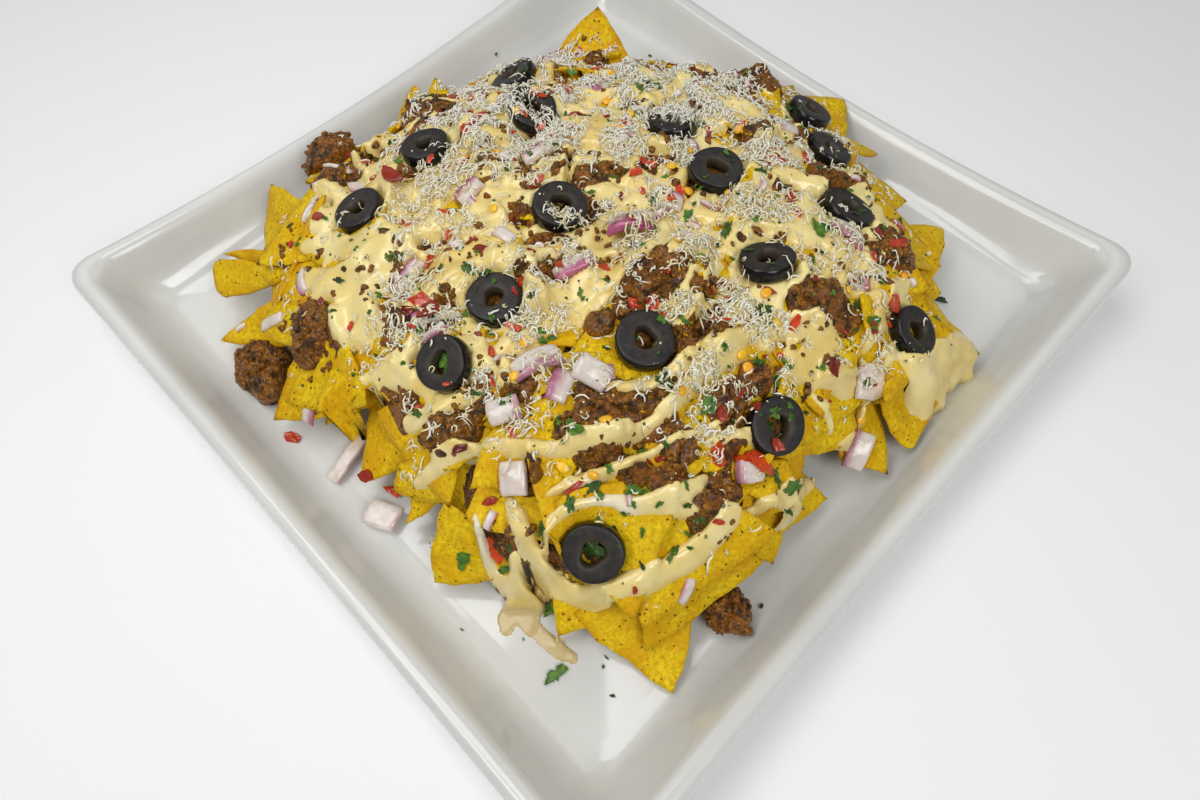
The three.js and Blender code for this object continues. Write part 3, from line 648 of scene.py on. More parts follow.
def foot_chips(count=24, clear=20):
    """The rest of the chips round the foot of the heap."""
    draw = Draw(5)
    chips = []
    for i in range(count):
        bearing = (i + draw() * 0.5) * 2 * math.pi / count
        out = float(reach(bearing)) + 2 + draw() * 12
        at = (out * math.cos(bearing), out * math.sin(bearing), FLOOR + 2.5 + draw() * 4)
        heading = math.degrees(bearing) + 180 + (draw() - 0.5) * 50
        rise = 26 + draw() * 26
        roll = (draw() - 0.5) * 50
        long = 42 + draw() * 8
        wide = 46 + draw() * 8
        curl = 2 + draw() * 4
        if all(math.hypot(at[0] - e[0][0], at[1] - e[0][1]) >= clear for e in EDGE_CHIPS):
            chips.append((at, heading, rise, roll, long, wide, curl, i % 2 == 0))
    return chips


def top_chips(count=13):
    """The chips that show through the toppings, in a spiral."""
    draw = Draw(11)
    chips = []
    for i in range(count):
        angle = i * GOLDEN_ANGLE + 0.4
        out = math.sqrt((i + 0.5) / count) * 0.8 * float(reach(angle))
        u, v = out * math.cos(angle), out * math.sin(angle)
        here = float(heap_height(u, v))
        beyond = 1 + 6 / out
        slope = math.atan2(here - float(heap_height(u * beyond, v * beyond)), 6)
        turn = (draw() - 0.5) * 60
        long = 44 + draw() * 8
        back = 0.5 * long * math.cos(slope)
        at = (u + back * math.cos(angle), v + back * math.sin(angle), here - 0.5 * long * math.sin(slope) - 1.5)
        rise = math.degrees(slope) + (draw() - 0.5) * 8
        roll = (draw() - 0.5) * 14
        curl = 2 + draw() * 3
        chips.append((at, math.degrees(angle) + 180 + turn * 0.3, rise, roll, long, long * 1.08, curl, i % 2 == 0))
    return chips


# rings of chips that cover the heap like shingles: share of the heap's reach, and how many
COVER_RINGS = [(0.84, 27), (0.74, 23), (0.62, 19), (0.48, 14), (0.32, 9), (0.14, 4)]
PUDDLE_AT = (-22, -131)  # where sauce has run out onto the plate
PUDDLE_CLEAR = 30


def cover_chips():
    """Chips that lie all over the heap, each close to its slope."""
    draw = Draw(17)
    chips = []
    for share, count in COVER_RINGS:
        for k in range(count):
            angle = (k + draw() * 0.7) * 2 * math.pi / count
            out = (share + (draw() - 0.5) * 0.07) * float(reach(angle))
            u, v = out * math.cos(angle), out * math.sin(angle)
            drop = float(heap_height(u * 0.95, v * 0.95)) - float(heap_height(u * 1.04, v * 1.04))
            slope = min(math.atan2(drop, 0.09 * out), math.radians(50))
            turn = math.radians((draw() - 0.5) * (120 if share > 0.8 else 300))
            rise = math.degrees(math.atan(math.tan(slope) * math.cos(turn))) + (draw() - 0.5) * 14
            roll = math.degrees(math.atan(-math.tan(slope) * math.sin(turn))) + (draw() - 0.5) * 14
            long = 40 + draw() * 12
            curl = 1.5 + draw() * 4
            heading = math.degrees(angle) + 180 + math.degrees(turn)
            middle = turned(np.array([[long * 2 / 3, 0, 0]]), roll, rise, heading)[0]
            z = float(heap_height(u, v)) - 4.4 + float(unevenness(u, v))
            z = max(z, FLOOR + 4) + (draw() - 0.5) * 2
            if math.hypot(u - PUDDLE_AT[0], v - PUDDLE_AT[1]) >= PUDDLE_CLEAR:
                at = (u - middle[0], v - middle[1], z - middle[2])
                chips.append((at, heading, rise, roll, long, long * (0.95 + 0.2 * draw()), curl, k % 2 == 0))
    return chips


def plate_height(u, v):
    """Height of the plate's inner face under a place."""
    x, y = (u + v) / ROOT2, (v - u) / ROOT2
    out = np.maximum(np.abs(x), np.abs(y))
    rows = np.array(INNER_FACE[::-1])
    z = np.interp(out, rows[:, 0], rows[:, 1])
    lift = np.interp(out, rows[:, 0], rows[:, 2]) * CORNER_RISE
    return z + lift * (np.minimum(np.abs(x), np.abs(y)) / np.maximum(out, 1)) ** 2


def turned(p, roll, rise, heading):
    """Turned about its length, then tipped up, then headed."""
    r, s, h = (math.radians(a) for a in (roll, rise, heading))
    x, y, z = p.T
    y, z = y * math.cos(r) - z * math.sin(r), y * math.sin(r) + z * math.cos(r)
    x, z = x * math.cos(s) - z * math.sin(s), x * math.sin(s) + z * math.cos(s)
    x, y = x * math.cos(h) - y * math.sin(h), x * math.sin(h) + y * math.cos(h)
    return np.stack([x, y, z], 1)


def chip_net(steps=15):
    """A triangle's vertices as shares of its three corners, its rim, and its faces."""
    index = {}
    shares = []
    for i in range(steps + 1):
        for j in range(i + 1):
            index[i, j] = len(shares)
            shares.append((1 - i / steps, (i - j) / steps, j / steps))
    rim = ([index[i, 0] for i in range(steps)] + [index[steps, j] for j in range(steps)]
           + [index[i, i] for i in range(steps, 0, -1)])
    tris = []
    for i in range(steps):
        for j in range(i + 1):
            tris.append((index[i, j], index[i + 1, j + 1], index[i + 1, j]))
            if j < i:
                tris.append((index[i, j], index[i, j + 1], index[i + 1, j + 1]))
    return np.array(shares), np.array(rim), np.array(tris)


def chip_faces(count, rim, tris):
    """Faces of a closed chip whose vertices are `count` over, `count` under, and its edge's middle."""
    following = np.roll(rim, -1)
    edge = 2 * count + np.arange(len(rim))
    edge_next = np.roll(edge, -1)
    return np.concatenate([tris, tris[:, ::-1] + count]), np.concatenate([
        np.stack([rim, following, edge_next, edge], 1),
        np.stack([edge, edge_next, following + count, rim + count], 1),
    ])


CHIP_SHARES, CHIP_RIM, CHIP_TRIS = chip_net()
CHIP_COUNT = len(CHIP_SHARES)
CHIP_FACES = chip_faces(CHIP_COUNT, CHIP_RIM, CHIP_TRIS)


def add_chip(shape, chip, seed, toppings):
    """One corn chip: a rounded triangle, ragged at its edge, blistered and slightly wavy."""
    at, heading, rise, roll, long, wide, curl, across = chip
    rng = np.random.default_rng(1000 + seed)
    nearest = CHIP_SHARES.max(1)
    edge = CHIP_SHARES.min(1) * long
    x = long * (CHIP_SHARES[:, 1] + CHIP_SHARES[:, 2])
    y = wide / 2 * (CHIP_SHARES[:, 1] - CHIP_SHARES[:, 2])
    to_middle = np.stack([long * 2 / 3 - x, -y], 1)
    to_middle /= np.maximum(np.linalg.norm(to_middle, axis=1), 1e-6)[:, None]
    own = np.stack([x, y, np.full(CHIP_COUNT, seed * 37.0)], 1)
    ragged = 0.7 * wave(own, 4, 1) + 0.5 * wave(own, 11, 2) + 0.5
    inward = CHIP_CORNER * np.clip((nearest - 2 / 3) * 3, 0, 1) ** 1.7 + ragged * np.exp(-edge / 4)
    x, y = x + to_middle[:, 0] * inward, y + to_middle[:, 1] * inward
    bend = 2 * y / wide if across else 2 * x / long - 1
    z = curl * bend ** 2 + 0.9 * wave(own, 15, 3) + 0.3 * wave(own, 6, 4)
    blister = np.zeros(CHIP_COUNT)
    for _ in range(9):
        a, b = rng.uniform((0.3, -0.3), (0.95, 0.3)) * (long, wide)
        size = rng.uniform(1.8, 3.6)
        blister += rng.uniform(0.4, 1.1) * np.exp(-((x - a) ** 2 + (y - b) ** 2) / size ** 2)
    half_thick = CHIP_THICK / 2 * (0.6 + 0.4 * smoothstep(0, 4, edge))
    over = np.stack([x, y, z + half_thick + blister], 1)
    under = np.stack([x, y, z - half_thick + 0.5 * blister], 1)
    bulge = 0.45 * to_middle[CHIP_RIM]
    rim = np.stack([x[CHIP_RIM] - bulge[:, 0], y[CHIP_RIM] - bulge[:, 1], z[CHIP_RIM]], 1)
    p = turned(np.concatenate([over, under, rim]), roll, rise, heading) + np.array(at, float)
    lift = np.repeat([0.9, 0.3, 0.6], [CHIP_COUNT, CHIP_COUNT, len(CHIP_RIM)])
    p[:, 2] = np.minimum(p[:, 2], toppings.clearance(p[:, 0], p[:, 1]) - 1.6 + lift)
    p[:, 2] = np.maximum(p[:, 2], plate_height(p[:, 0], p[:, 1]) + lift)
    near_edge = np.exp(-edge / 5)
    toasty = rng.random() ** 2.5
    toast = np.clip(0.4 * toasty * (0.25 + 0.75 * near_edge) + 0.14 * near_edge, 0, 1)
    burn = np.clip((0.25 + 0.75 * (rng.random() < 0.35)) * smoothstep(0.93, 1.0, nearest), 0, 1)
    toast, burn = (np.concatenate([v, v, v[CHIP_RIM]]) for v in (toast, burn))
    shape.add(p, *CHIP_FACES, toast=toast, burn=burn)


def chips_shape(toppings):
    shape = Shape()
    for i, chip in enumerate([*EDGE_CHIPS, *foot_chips(), *top_chips(), *cover_chips()]):
        add_chip(shape, chip, i, toppings)
    return shape


# ---- beef ------------------------------------------------------------------------------------
CLUMP_BALL = ball(23)
CLUMP_FAR = 60  # from a clump's middle to clear of it


def clump_shape(name, seed):
    """A clump of minced beef with the outline of its solid."""
    tree = node_tree(name)
    points = node_points(name)
    middle = (points.min(0) + points.max(0)) / 2
    directions, tris = CLUMP_BALL
    out = []
    for d in directions:
        hit = tree.ray_cast(Vector(middle + d * CLUMP_FAR), Vector(-d), CLUMP_FAR)
        out.append(CLUMP_FAR - hit[3] if hit[0] else 5.0)
    out = np.array(out)
    for _ in range(8):
        total = np.zeros(len(out))
        met = np.zeros(len(out))
        for a, b in ((0, 1), (1, 2), (2, 0)):
            np.add.at(total, tris[:, a], out[tris[:, b]])
            np.add.at(met, tris[:, a], 1)
        out = 0.5 * out + 0.5 * total / met
    p = middle + directions * out[:, None]
    relief, deep = minced(p, seed)
    p = p + directions * (relief - 1.7)[:, None]
    p[:, 2] = np.maximum(p[:, 2], plate_height(p[:, 0], p[:, 1]) + 0.3)
    shape = Shape()
    shape.add(p, tris, deep=deep)
    return shape


# ---- ground: the height of what has been laid so far --------------------------------------------
class Ground:
    """Heights over a grid of places of what has been laid so far."""

    EXTENT = 166.0
    STEP = 0.8
    ABOVE = 140  # higher than anything laid
    FREE = 999.0  # the underside where nothing hangs over a place

    def __init__(self, shapes):
        verts = []
        faces = []
        for shape in shapes:
            before = len(verts)
            verts += shape.points().tolist()
            faces += [[i + before for i in face] for face in shape.polygons()]
        self.tree = BVHTree.FromPolygons(verts, faces)
        self.places = np.arange(-self.EXTENT, self.EXTENT + self.STEP / 2, self.STEP)
        self.u, self.v = np.meshgrid(self.places, self.places, indexing="ij")
        self.top = np.zeros(self.u.shape)
        down = Vector((0, 0, -1))
        for i, u in enumerate(self.places):
            for j, v in enumerate(self.places):
                hit = self.tree.ray_cast(Vector((u, v, self.ABOVE)), down)
                if hit[0]:
                    self.top[i, j] = hit[0].z

    def find_underside(self):
        """Finds how low each place is hung over, and the same with its neighbours counted in."""
        up = Vector((0, 0, 1))
        self.under = np.full(self.top.shape, self.FREE)
        for i, j in np.argwhere(self.top > 1):
            hit = self.tree.ray_cast(Vector((self.places[i], self.places[j], 0)), up)
            if hit[0]:
                self.under[i, j] = hit[0].z
        self.low = np.minimum.reduce([self.under, *(np.roll(self.under, shift, axis)
                                                    for shift in (-1, 1) for axis in (0, 1))])

    def cells(self, u, v):
        """Places as fractional rows and columns of the grid."""
        last = len(self.places) - 1.001
        return [np.clip((np.asarray(w, float) + self.EXTENT) / self.STEP, 0, last) for w in (u, v)]

    def at(self, u, v):
        """Height at any places."""
        a, b = self.cells(u, v)
        i, j = a.astype(int), b.astype(int)
        s, t = a - i, b - j
        h = self.top
        return ((h[i, j] * (1 - s) + h[i + 1, j] * s) * (1 - t)
                + (h[i, j + 1] * (1 - s) + h[i + 1, j + 1] * s) * t)

    def nearest(self, field, u, v):
        """The value of a field of the grid at the cell nearest to each place."""
        a, b = self.cells(u, v)
        return field[np.round(a).astype(int), np.round(b).astype(int)]

    def clearance(self, u, v):
        """How high things may reach at any places without touching what lies above."""
        return self.nearest(self.low, u, v)

    def cover(self, inside, z):
        """Raises the ground to a layer that has been laid on it."""
        self.top = np.where(inside > 0.02, np.maximum(self.top, z), self.top)

    def beside(self, u, v, size):
        """Heights at eight places round each place, and the directions to them."""
        k = np.arange(8) * np.pi / 4
        du, dv = np.cos(k), np.sin(k)
        return np.stack([self.at(u + a * size / 2, v + b * size / 2) for a, b in zip(du, dv)]), du, dv

    def even(self, u, v, size=6.0, most=8.0):
        """Whether the ground at each place varies little enough for a loose thing to lie there."""
        return np.ptp(np.stack([*self.beside(u, v, size)[0], self.at(u, v)]), axis=0) < most

    def rest(self, u, v, size, steepest):
        """Middle height and upward direction of things `size` across that lie at these places."""
        h, du, dv = self.beside(u, v, size)
        slope_u = (h * du[:, None]).sum(0) / 4 / (size / 2)
        slope_v = (h * dv[:, None]).sum(0) / 4 / (size / 2)
        steep = np.maximum(np.hypot(slope_u, slope_v), 1e-6)
        ease = np.minimum(1, steepest / steep)
        normal = np.stack([-slope_u * ease, -slope_v * ease, np.ones_like(steep)], 1)
        normal /= np.linalg.norm(normal, axis=1)[:, None]
        return 0.5 * h.mean(0) + 0.5 * self.at(u, v), normal


def blurred(field, wide):
    """The field smoothed over about `wide` cells."""
    k = np.arange(-int(3 * wide), int(3 * wide) + 1)
    w = np.exp(-k ** 2 / (2 * wide ** 2))
    w /= w.sum()
    for axis in (0, 1):
        field = sum(weight * np.roll(field, shift, axis) for weight, shift in zip(w, k))
    return field


# ---- places of the olives ----------------------------------------------------------------------
OLIVES = [(-32, 79), (-24, 48), (-64, 35), (-85, 6), (-12, -4), (30, 44), (44, 16), (88, 66), (92, 42),
          (92, 6), (-32, -40), (-46, -62), (16, -58), (58, -28), (110, -40), (57, -79), (0, -118)]
CHEESY_OLIVES = (2, 4, 5, 6)  # those that cheese has fallen on, counted from 1

# ---- sauce -----------------------------------------------------------------------------------
# strokes that the solids hold: width, thickness, places
STROKES = [
    (13, 7, [(-104, -18), (-88, -24), (-66, -14), (-40, 2)]),
    (10, 6, [(-108, 26), (-92, 18), (-74, 30), (-52, 44), (-30, 60)]),
    (8, 5, [(-72, -58), (-50, -66), (-24, -56), (0, -40), (22, -18), (40, 6)]),
    (9, 5, [(-60, -92), (-38, -88), (-10, -92), (18, -84), (34, -66), (52, -52), (80, -50)]),
    (11.5, 6, [(-26, -104), (-14, -124), (10, -128), (34, -116), (44, -106)]),
    (8.5, 6, [(8, -108), (26, -104), (34, -98)]),
    (9, 6, [(60, -98), (70, -92), (78, -84)]),
    (9, 5, [(66, -62), (84, -62), (100, -52), (112, -28)]),
    (18, 9, [(112, -54), (126, -46), (140, -34)]),
    (8, 5, [(-20, 34), (4, 26), (28, 28), (56, 20), (84, 14)]),
    (8, 5, [(-40, 62), (-10, 66), (20, 62), (50, 58), (76, 44)]),
    (8, 5, [(-60, -38), (-30, -24), (6, -20), (34, -4), (64, -8), (92, -18)]),
]
# thinner strokes: width, thickness, places
THIN_STROKES = [
    (6, 3, [(-15, -117), (-11, -111), (-2, -107), (8, -106), (20, -108), (31, -108)]),
    (6.5, 3.2, [(-14, -105), (-6, -101), (6, -97), (18, -92), (30, -86), (40, -81)]),
    (8, 2.4, [(-37, -107), (-36, -114), (-33, -121), (-26, -124), (-19, -128)]),
    (12, 3, [(-107, -4), (-98, -6), (-87, -12), (-77, -10)]),
    (9, 2.6, [(-102, -2), (-98, 5), (-96, 17)]),
    (10, 3.6, [(-68, -35), (-61, -38), (-57, -40)]),
    (8, 3, [(-78, -59), (-71, -59), (-65, -58), (-60, -54), (-58, -49)]),
    (9, 2.8, [(-62, -76), (-53, -75), (-45, -74), (-36, -73)]),
    (8, 3.2, [(-30, -62), (-22, -57), (-14, -49), (-6, -43), (2, -37)]),
    (8, 3.4, [(1, -42), (7, -35), (14, -26), (21, -20), (30, -17), (38, -20)]),
    (8, 3.4, [(1, -73), (13, -73), (26, -68), (36, -61), (46, -55)]),
    (8, 3.4, [(49, -54), (60, -50), (70, -49), (82, -51)]),
    (7.5, 3, [(18, -51), (31, -45), (44, -41), (53, -38)]),
    (8, 3.2, [(30, -71), (37, -66), (42, -62), (48, -59)]),
    (7, 2.8, [(-43, -54), (-35, -58), (-28, -66), (-24, -71)]),
    (8, 3, [(-21, -37), (-15, -41), (-7, -38), (2, -40)]),
    (8, 3, [(-67, -16), (-55, -22), (-45, -22), (-35, -24), (-25, -22)]),
    (7.5, 3, [(-57, -29), (-50, -25), (-42, -23)]),
    (9, 3.4, [(71, -15), (84, -10), (94, -12), (97, -18)]),
    (8, 3, [(94, -29), (98, -35), (98, -42), (93, -48)]),
    (6.5, 3.2, [(72, -68), (78, -71), (80, -75)]),
    (8, 2.8, [(97, -63), (94, -67), (98, -69)]),
    (8, 2.2, [(78, -84), (93, -73)]),
    (11, 4, [(48, -105), (57, -103), (67, -99)]),
    (8, 2.8, [(35, -88), (45, -85), (53, -86)]),
    (8, 3.2, [(-52, 77), (-39, 69), (-22, 68), (-13, 74)]),
    (8, 3.2, [(-13, 44), (1, 45), (15, 43), (22, 39)]),
    (9, 3.6, [(-1, 6), (9, 4), (21, 2), (34, -3)]),
    (8, 3.2, [(40, 41), (50, 46), (61, 49), (74, 54)]),
    (8, 3, [(-50, 48), (-40, 41), (-32, 33)]),
    (8, 3, [(-37, 9), (-33, 0), (-29, 6)]),
    (8, 3, [(40, 30), (51, 30), (62, 28), (75, 34), (85, 39)]),
    (8, 3.2, [(47, 6), (56, 2), (68, -1), (81, 0)]),
    (7.5, 3, [(2, 92), (19, 76), (34, 64), (51, 62)]),
    (8, 3, [(-61, -6), (-53, -3), (-44, -3), (-36, -11)]),
    (8, 3, [(1, -12), (6, -4), (10, -1)]),
    (7.5, 2.8, [(-6, 66), (6, 70), (17, 80)]),
    (9, 3, [(-24, -54), (-13, -49), (-5, -47)]),
    (8, 3, [(-44, -64), (-34, -68), (-28, -72)]),
    (8, 3, [(60, -64), (70, -60), (80, -58)]),
]
# big drops, and the thin puddle on the plate
DOLLOPS = [
    (25, 15, [(-84, -40), (-78, -40)]),
    (22, 14, [(112, -52), (122, -49), (130, -45)]),
]
PUDDLE = [
    (9, 0.9, [(-26, -118), (-25, -127), (-22, -135)]),
    (7, 0.8, [(-22, -134), (-14, -141), (-8, -144)]),
    (7, 0.8, [(-30, -127), (-31, -135)]),
]

# round places, with sizes, where the sauce never breaks, and where it is whiter
WHOLE_SAUCE = [(*PUDDLE_AT, 24), (126, -46, 30), (-81, -40, 15)]
CREAM_SPOTS = [(7, -109, 6), (-36, -112, 6), (120, -34, 5), (1, -104, 4)]


def drizzle():
    """More thin strokes over the middle and the back, poured back and forth."""
    rng = np.random.default_rng(31)
    strokes = []
    for k in range(-3, 9):
        across = k * 12.5 + 8 + rng.uniform(-3, 3)
        heading = math.radians(20 + rng.uniform(-9, 9))
        along = np.arange(-96, 97, 14)
        sway = 6 * np.sin(along / 15 + rng.uniform(0, 6))
        u = along * math.cos(heading) - (across + sway) * math.sin(heading)
        v = along * math.sin(heading) + (across + sway) * math.cos(heading)
        inside = (np.hypot(u, v) < 0.8 * reach(np.arctan2(v, u))) & (v > -40)
        places = [(a, b) for a, b, keep in zip(u, v, inside) if keep]
        if len(places) > 3:
            strokes.append((rng.uniform(7.5, 12), rng.uniform(3, 4.4), places))
    return strokes


def splashes(count=380):
    """Short blobs of sauce between the strokes, most at the right and the back."""
    rng = np.random.default_rng(35)
    found = []
    while len(found) < count:
        angle = rng.uniform(0, 2 * math.pi)
        out = math.sqrt(rng.random()) * 0.82 * float(reach(angle))
        u, v = out * math.cos(angle), out * math.sin(angle)
        wanted = 1.0 if u > 20 or v > 10 else 0.55
        if v > -60 and u + 0.6 * v > -75 and rng.random() < wanted:
            heading, long = rng.uniform(-0.6, 1.2), rng.uniform(3, 15)
            du, dv = 0.5 * long * math.cos(heading), 0.5 * long * math.sin(heading)
            wide, deep = rng.uniform(4.5, 10.5), rng.uniform(2.0, 4.4)
            found.append((wide, deep, [(u - du, v - dv), (u, v), (u + du, v + dv)]))
    return found


def dense(places, step=1.5):
    """Points every `step` millimetres along a smooth line through some places."""
    p = np.array(places, float)
    line = []
    for i in range(len(p) - 1):
        parts = np.arange(0, 1, step / max(np.linalg.norm(p[i + 1] - p[i]), step))
        line += [spline(p, i, t) for t in parts]
    return np.array([*line, p[-1]])


# where the beef shows through, and where a chip does: place and size
BEEF_SHOWS = [
    (-66, 62, 11), (-48, -30, 8), (-55, -40, 8), (-37, 21, 7), (-29, -1, 6), (-15, -17, 6), (-14, -27, 6),
    (20, -33, 11), (76, -39, 7), (36, -55, 8), (25, -59, 7),
    (4, -78, 9), (17, -80, 9), (42, -77, 7), (26, -89, 6), (10, -98, 5), (24, -102, 6), (34, -105, 8),
    (35, -110, 7), (-67, -69, 9), (-42, -79, 9), (-66, -62, 7), (-126, -35, 12), (-92, -45, 10), (-103, 36, 11),
    (66, 82, 10), (44, 76, 9), (89, 22, 8), (-3, 10, 7), (-1, -86, 9), (-31, -36, 7), (122, 76, 4), (-12, 19, 6),
    (-21, -97, 6), (63, 36, 6), (60, 62, 8), (108, -6, 9), (-72, 30, 8), (60, -14, 6), (20, 62, 6),
    (-23, -114, 5), (44, -101, 7), (2, -50, 4), (13, -45, 5), (-23, -31, 4), (-23, -73, 5), (35, -39, 4),
    (46, -90, 6), (98, -12, 5), (84, -42, 5), (68, -41, 4), (52, -66, 5), (111, -59, 5), (-52, 42, 7),
    (-41, 10, 6), (-23, 17, 5), (10, 70, 7), (22, 92, 7), (54, 92, 7), (23, 24, 5), (6, 14, 6), (-22, 64, 6),
    (38, 8, 6), (66, 12, 6), (78, 45, 7), (-42, 74, 7), (0, 100, 7), (-8, 46, 6), (-57, -14, 6), (-90, -24, 5),
]
CHIPS_SHOW = [
    (21, -114, 9), (56, -92, 12), (63, -107, 9), (-34, -103, 7), (-13, -90, 6), (-9, -83, 5), (-93, -52, 16),
    (-108, -53, 10), (-94, -19, 5), (-8, -134, 12), (6, -101, 5), (112, -62, 9), (76, -80, 5), (101, -74, 6),
    (-41, -116, 6), (1, -139, 12), (-52, -113, 6), (14, -111, 6), (26, -126, 6), (2, 119, 15),
]


def around(u, v, places, soften=0.45):
    """How much a place lies within any of some round places, 0 to 1."""
    share = np.zeros(np.broadcast(u, v).shape)
    for a, b, size in places:
        d = np.hypot(u - a, v - b) / size
        share = np.maximum(share, 1 - smoothstep(1 - soften, 1 + soften, d))
    return share


def poured(ground, kinds, seed):
    """How far inside the strokes each place is, 0 at their edges, and how thick they are there.

    `kinds` pairs each stroke with whether it leaves bare the places where beef or a chip shows.
    """
    inside = np.full(ground.u.shape, -1.0)
    thick = np.zeros(ground.u.shape)
    rng = np.random.default_rng(seed)
    for (wide, deep, places), bare in kinds:
        line = dense(places)
        along = np.arange(len(line))
        knots = np.arange(0, len(line) + 8, 8)
        sway = np.interp(along, knots, rng.uniform(0.82, 1.2, len(knots)))
        ends = np.minimum(along, along[::-1])
        for (a, b), s in zip(line, sway * np.minimum(1, 0.6 + 0.4 * ends / 4)):
            half = wide / 2 * s
            window = tuple(slice(max(int((c - half - 3 + ground.EXTENT) / ground.STEP), 0),
                                 int((c + half + 4 + ground.EXTENT) / ground.STEP)) for c in (a, b))
            u, v = ground.u[window], ground.v[window]
            d = 1 - np.hypot(u - a, v - b) / half
            if bare:
                d = d - 0.9 * np.maximum(around(u, v, BEEF_SHOWS), around(u, v, CHIPS_SHOW))
            inside[window] = np.maximum(inside[window], d)
            profile = deep * s * np.sqrt(np.clip(1 - (1 - np.clip(d, 0, 1)) ** 2, 0, 1))
            thick[window] = np.maximum(thick[window], profile)
    return inside, thick


def closed(field, cells):
    """The field with its narrow valleys filled."""
    for pick in (np.maximum, np.minimum):
        for axis in (0, 1):
            made = field
            for shift in range(-cells, cells + 1):
                made = pick(made, np.roll(field, shift, axis))
            field = made
    return field


def widened(field):
    """The highest of each place and the eight beside it."""
    for axis in (0, 1):
        field = np.maximum(field, np.maximum(np.roll(field, 1, axis), np.roll(field, -1, axis)))
    return field


EDGE_BLUR = 0.9  # cells over which the edges of a layer are smoothed
LIP = 4.5  # how far the edge of a layer reaches down where the ground falls away
NOWHERE = -99.0  # a height below everything


def draped(field, inside, step, slope=1.7, cells=9):
    """The field with its drops eased to a slope wherever the layer lies, as thick sauce hangs."""
    held = np.where(inside > 0.05, field, NOWHERE)
    for _ in range(cells):
        for axis in (0, 1):
            beside = np.maximum(np.roll(held, 1, axis), np.roll(held, -1, axis))
            held = np.maximum(held, beside - slope * step)
    return field + np.maximum(held - field, 0) * smoothstep(0.04, 0.5, inside)


def hung(ground, inside, thick, bridged, soft=2.2):
    """Heights of thick sauce, which fills narrow valleys and drapes over drops.

    It stops where it would hang more than `bridged` above the ground.
    """
    share = smoothstep(0.1, 1.6, thick)
    body = ground.top * (1 - share) + blurred(closed(ground.top, 2), soft / ground.STEP) * share + thick
    body = np.maximum(body, ground.top + 0.55 * np.minimum(thick, 2.4))
    body = blurred(draped(body, inside, ground.STEP), 1.1)
    inside = inside - 1.5 * blurred(smoothstep(bridged, bridged + 4, body - ground.top - thick), 0.7)
    z = np.where(inside > 0.08, np.maximum(body, ground.top + 0.25), ground.top + thick)
    return inside, np.where(inside > 0.2, np.maximum(z, widened(ground.top) + 0.2), z)


def layer(ground, inside, z, cap, sunk, steepest, **values):
    """A layer at the heights z wherever `inside` is over 0, its edges tucked in, and under `cap`.

    Faces that fall more than `steepest` are left out; `values` are functions of the places.
    """
    z = np.minimum(z - sunk * smoothstep(0.10, -0.10, inside), cap - 0.25)
    keep = inside > 0
    z = np.where(keep, z, np.maximum(z, widened(np.where(keep, z, NOWHERE)) - LIP))
    n = len(ground.places)
    index = np.arange(n * n).reshape(n, n)
    corners = np.stack([index[:-1, :-1], index[1:, :-1], index[1:, 1:], index[:-1, 1:]], -1).reshape(-1, 4)
    falls = np.ptp(z.ravel()[corners], axis=1)
    quads = corners[keep.ravel()[corners].any(1) & (falls < steepest)]
    du, dv = np.gradient(inside, ground.STEP)
    steep = np.maximum(np.hypot(du, dv), 0.02)
    shift = np.where(keep, 0, np.clip(-inside / steep, 0, 1.2)) / steep
    used, renumbered = np.unique(quads, return_inverse=True)
    p = np.stack([ground.u + shift * du, ground.v + shift * dv, z], -1).reshape(-1, 3)[used]
    shape = Shape()
    shape.add(p, quads=renumbered.reshape(-1, 4), **{key: value(p) for key, value in values.items()})
    ground.cover(inside, z)
    return shape


def mince_shape(ground, toppings):
    """Minced beef that fills the hollows between the chips."""
    u, v = ground.u, ground.v
    flat = level(u, v)
    out = reach_share(u, v)
    spread = 0.42 * wave(flat, 17, 51) + 0.22 * wave(flat, 6, 52) + 0.12 * wave(flat, 2.5, 53)
    under_olives = [(a, b, 5) for a, b in OLIVES]
    shows = 1.25 * around(u, v, BEEF_SHOWS + under_olives, 0.6)
    inside = shows - 0.9 * around(u, v, CHIPS_SHOW, 0.5) + spread
    inside = inside - 0.44 + 0.26 * smoothstep(-75, -30, v) * smoothstep(0.84, 0.68, out)
    inside = np.minimum(inside, (0.90 - out) * 6)
    relief, deep = minced(np.stack([u, v, ground.top], -1), 54)
    thick = (0.5 + relief) * smoothstep(0, 0.35, inside)
    inside = blurred(inside, EDGE_BLUR)
    return layer(ground, inside, ground.top + thick, toppings.low, 1.2, 12,
                 deep=lambda p: ground.nearest(deep, p[:, 0], p[:, 1]))


FRONT, FRONT_SHARE = -60, 0.62  # strokes that start in front of this v keep this share of their width


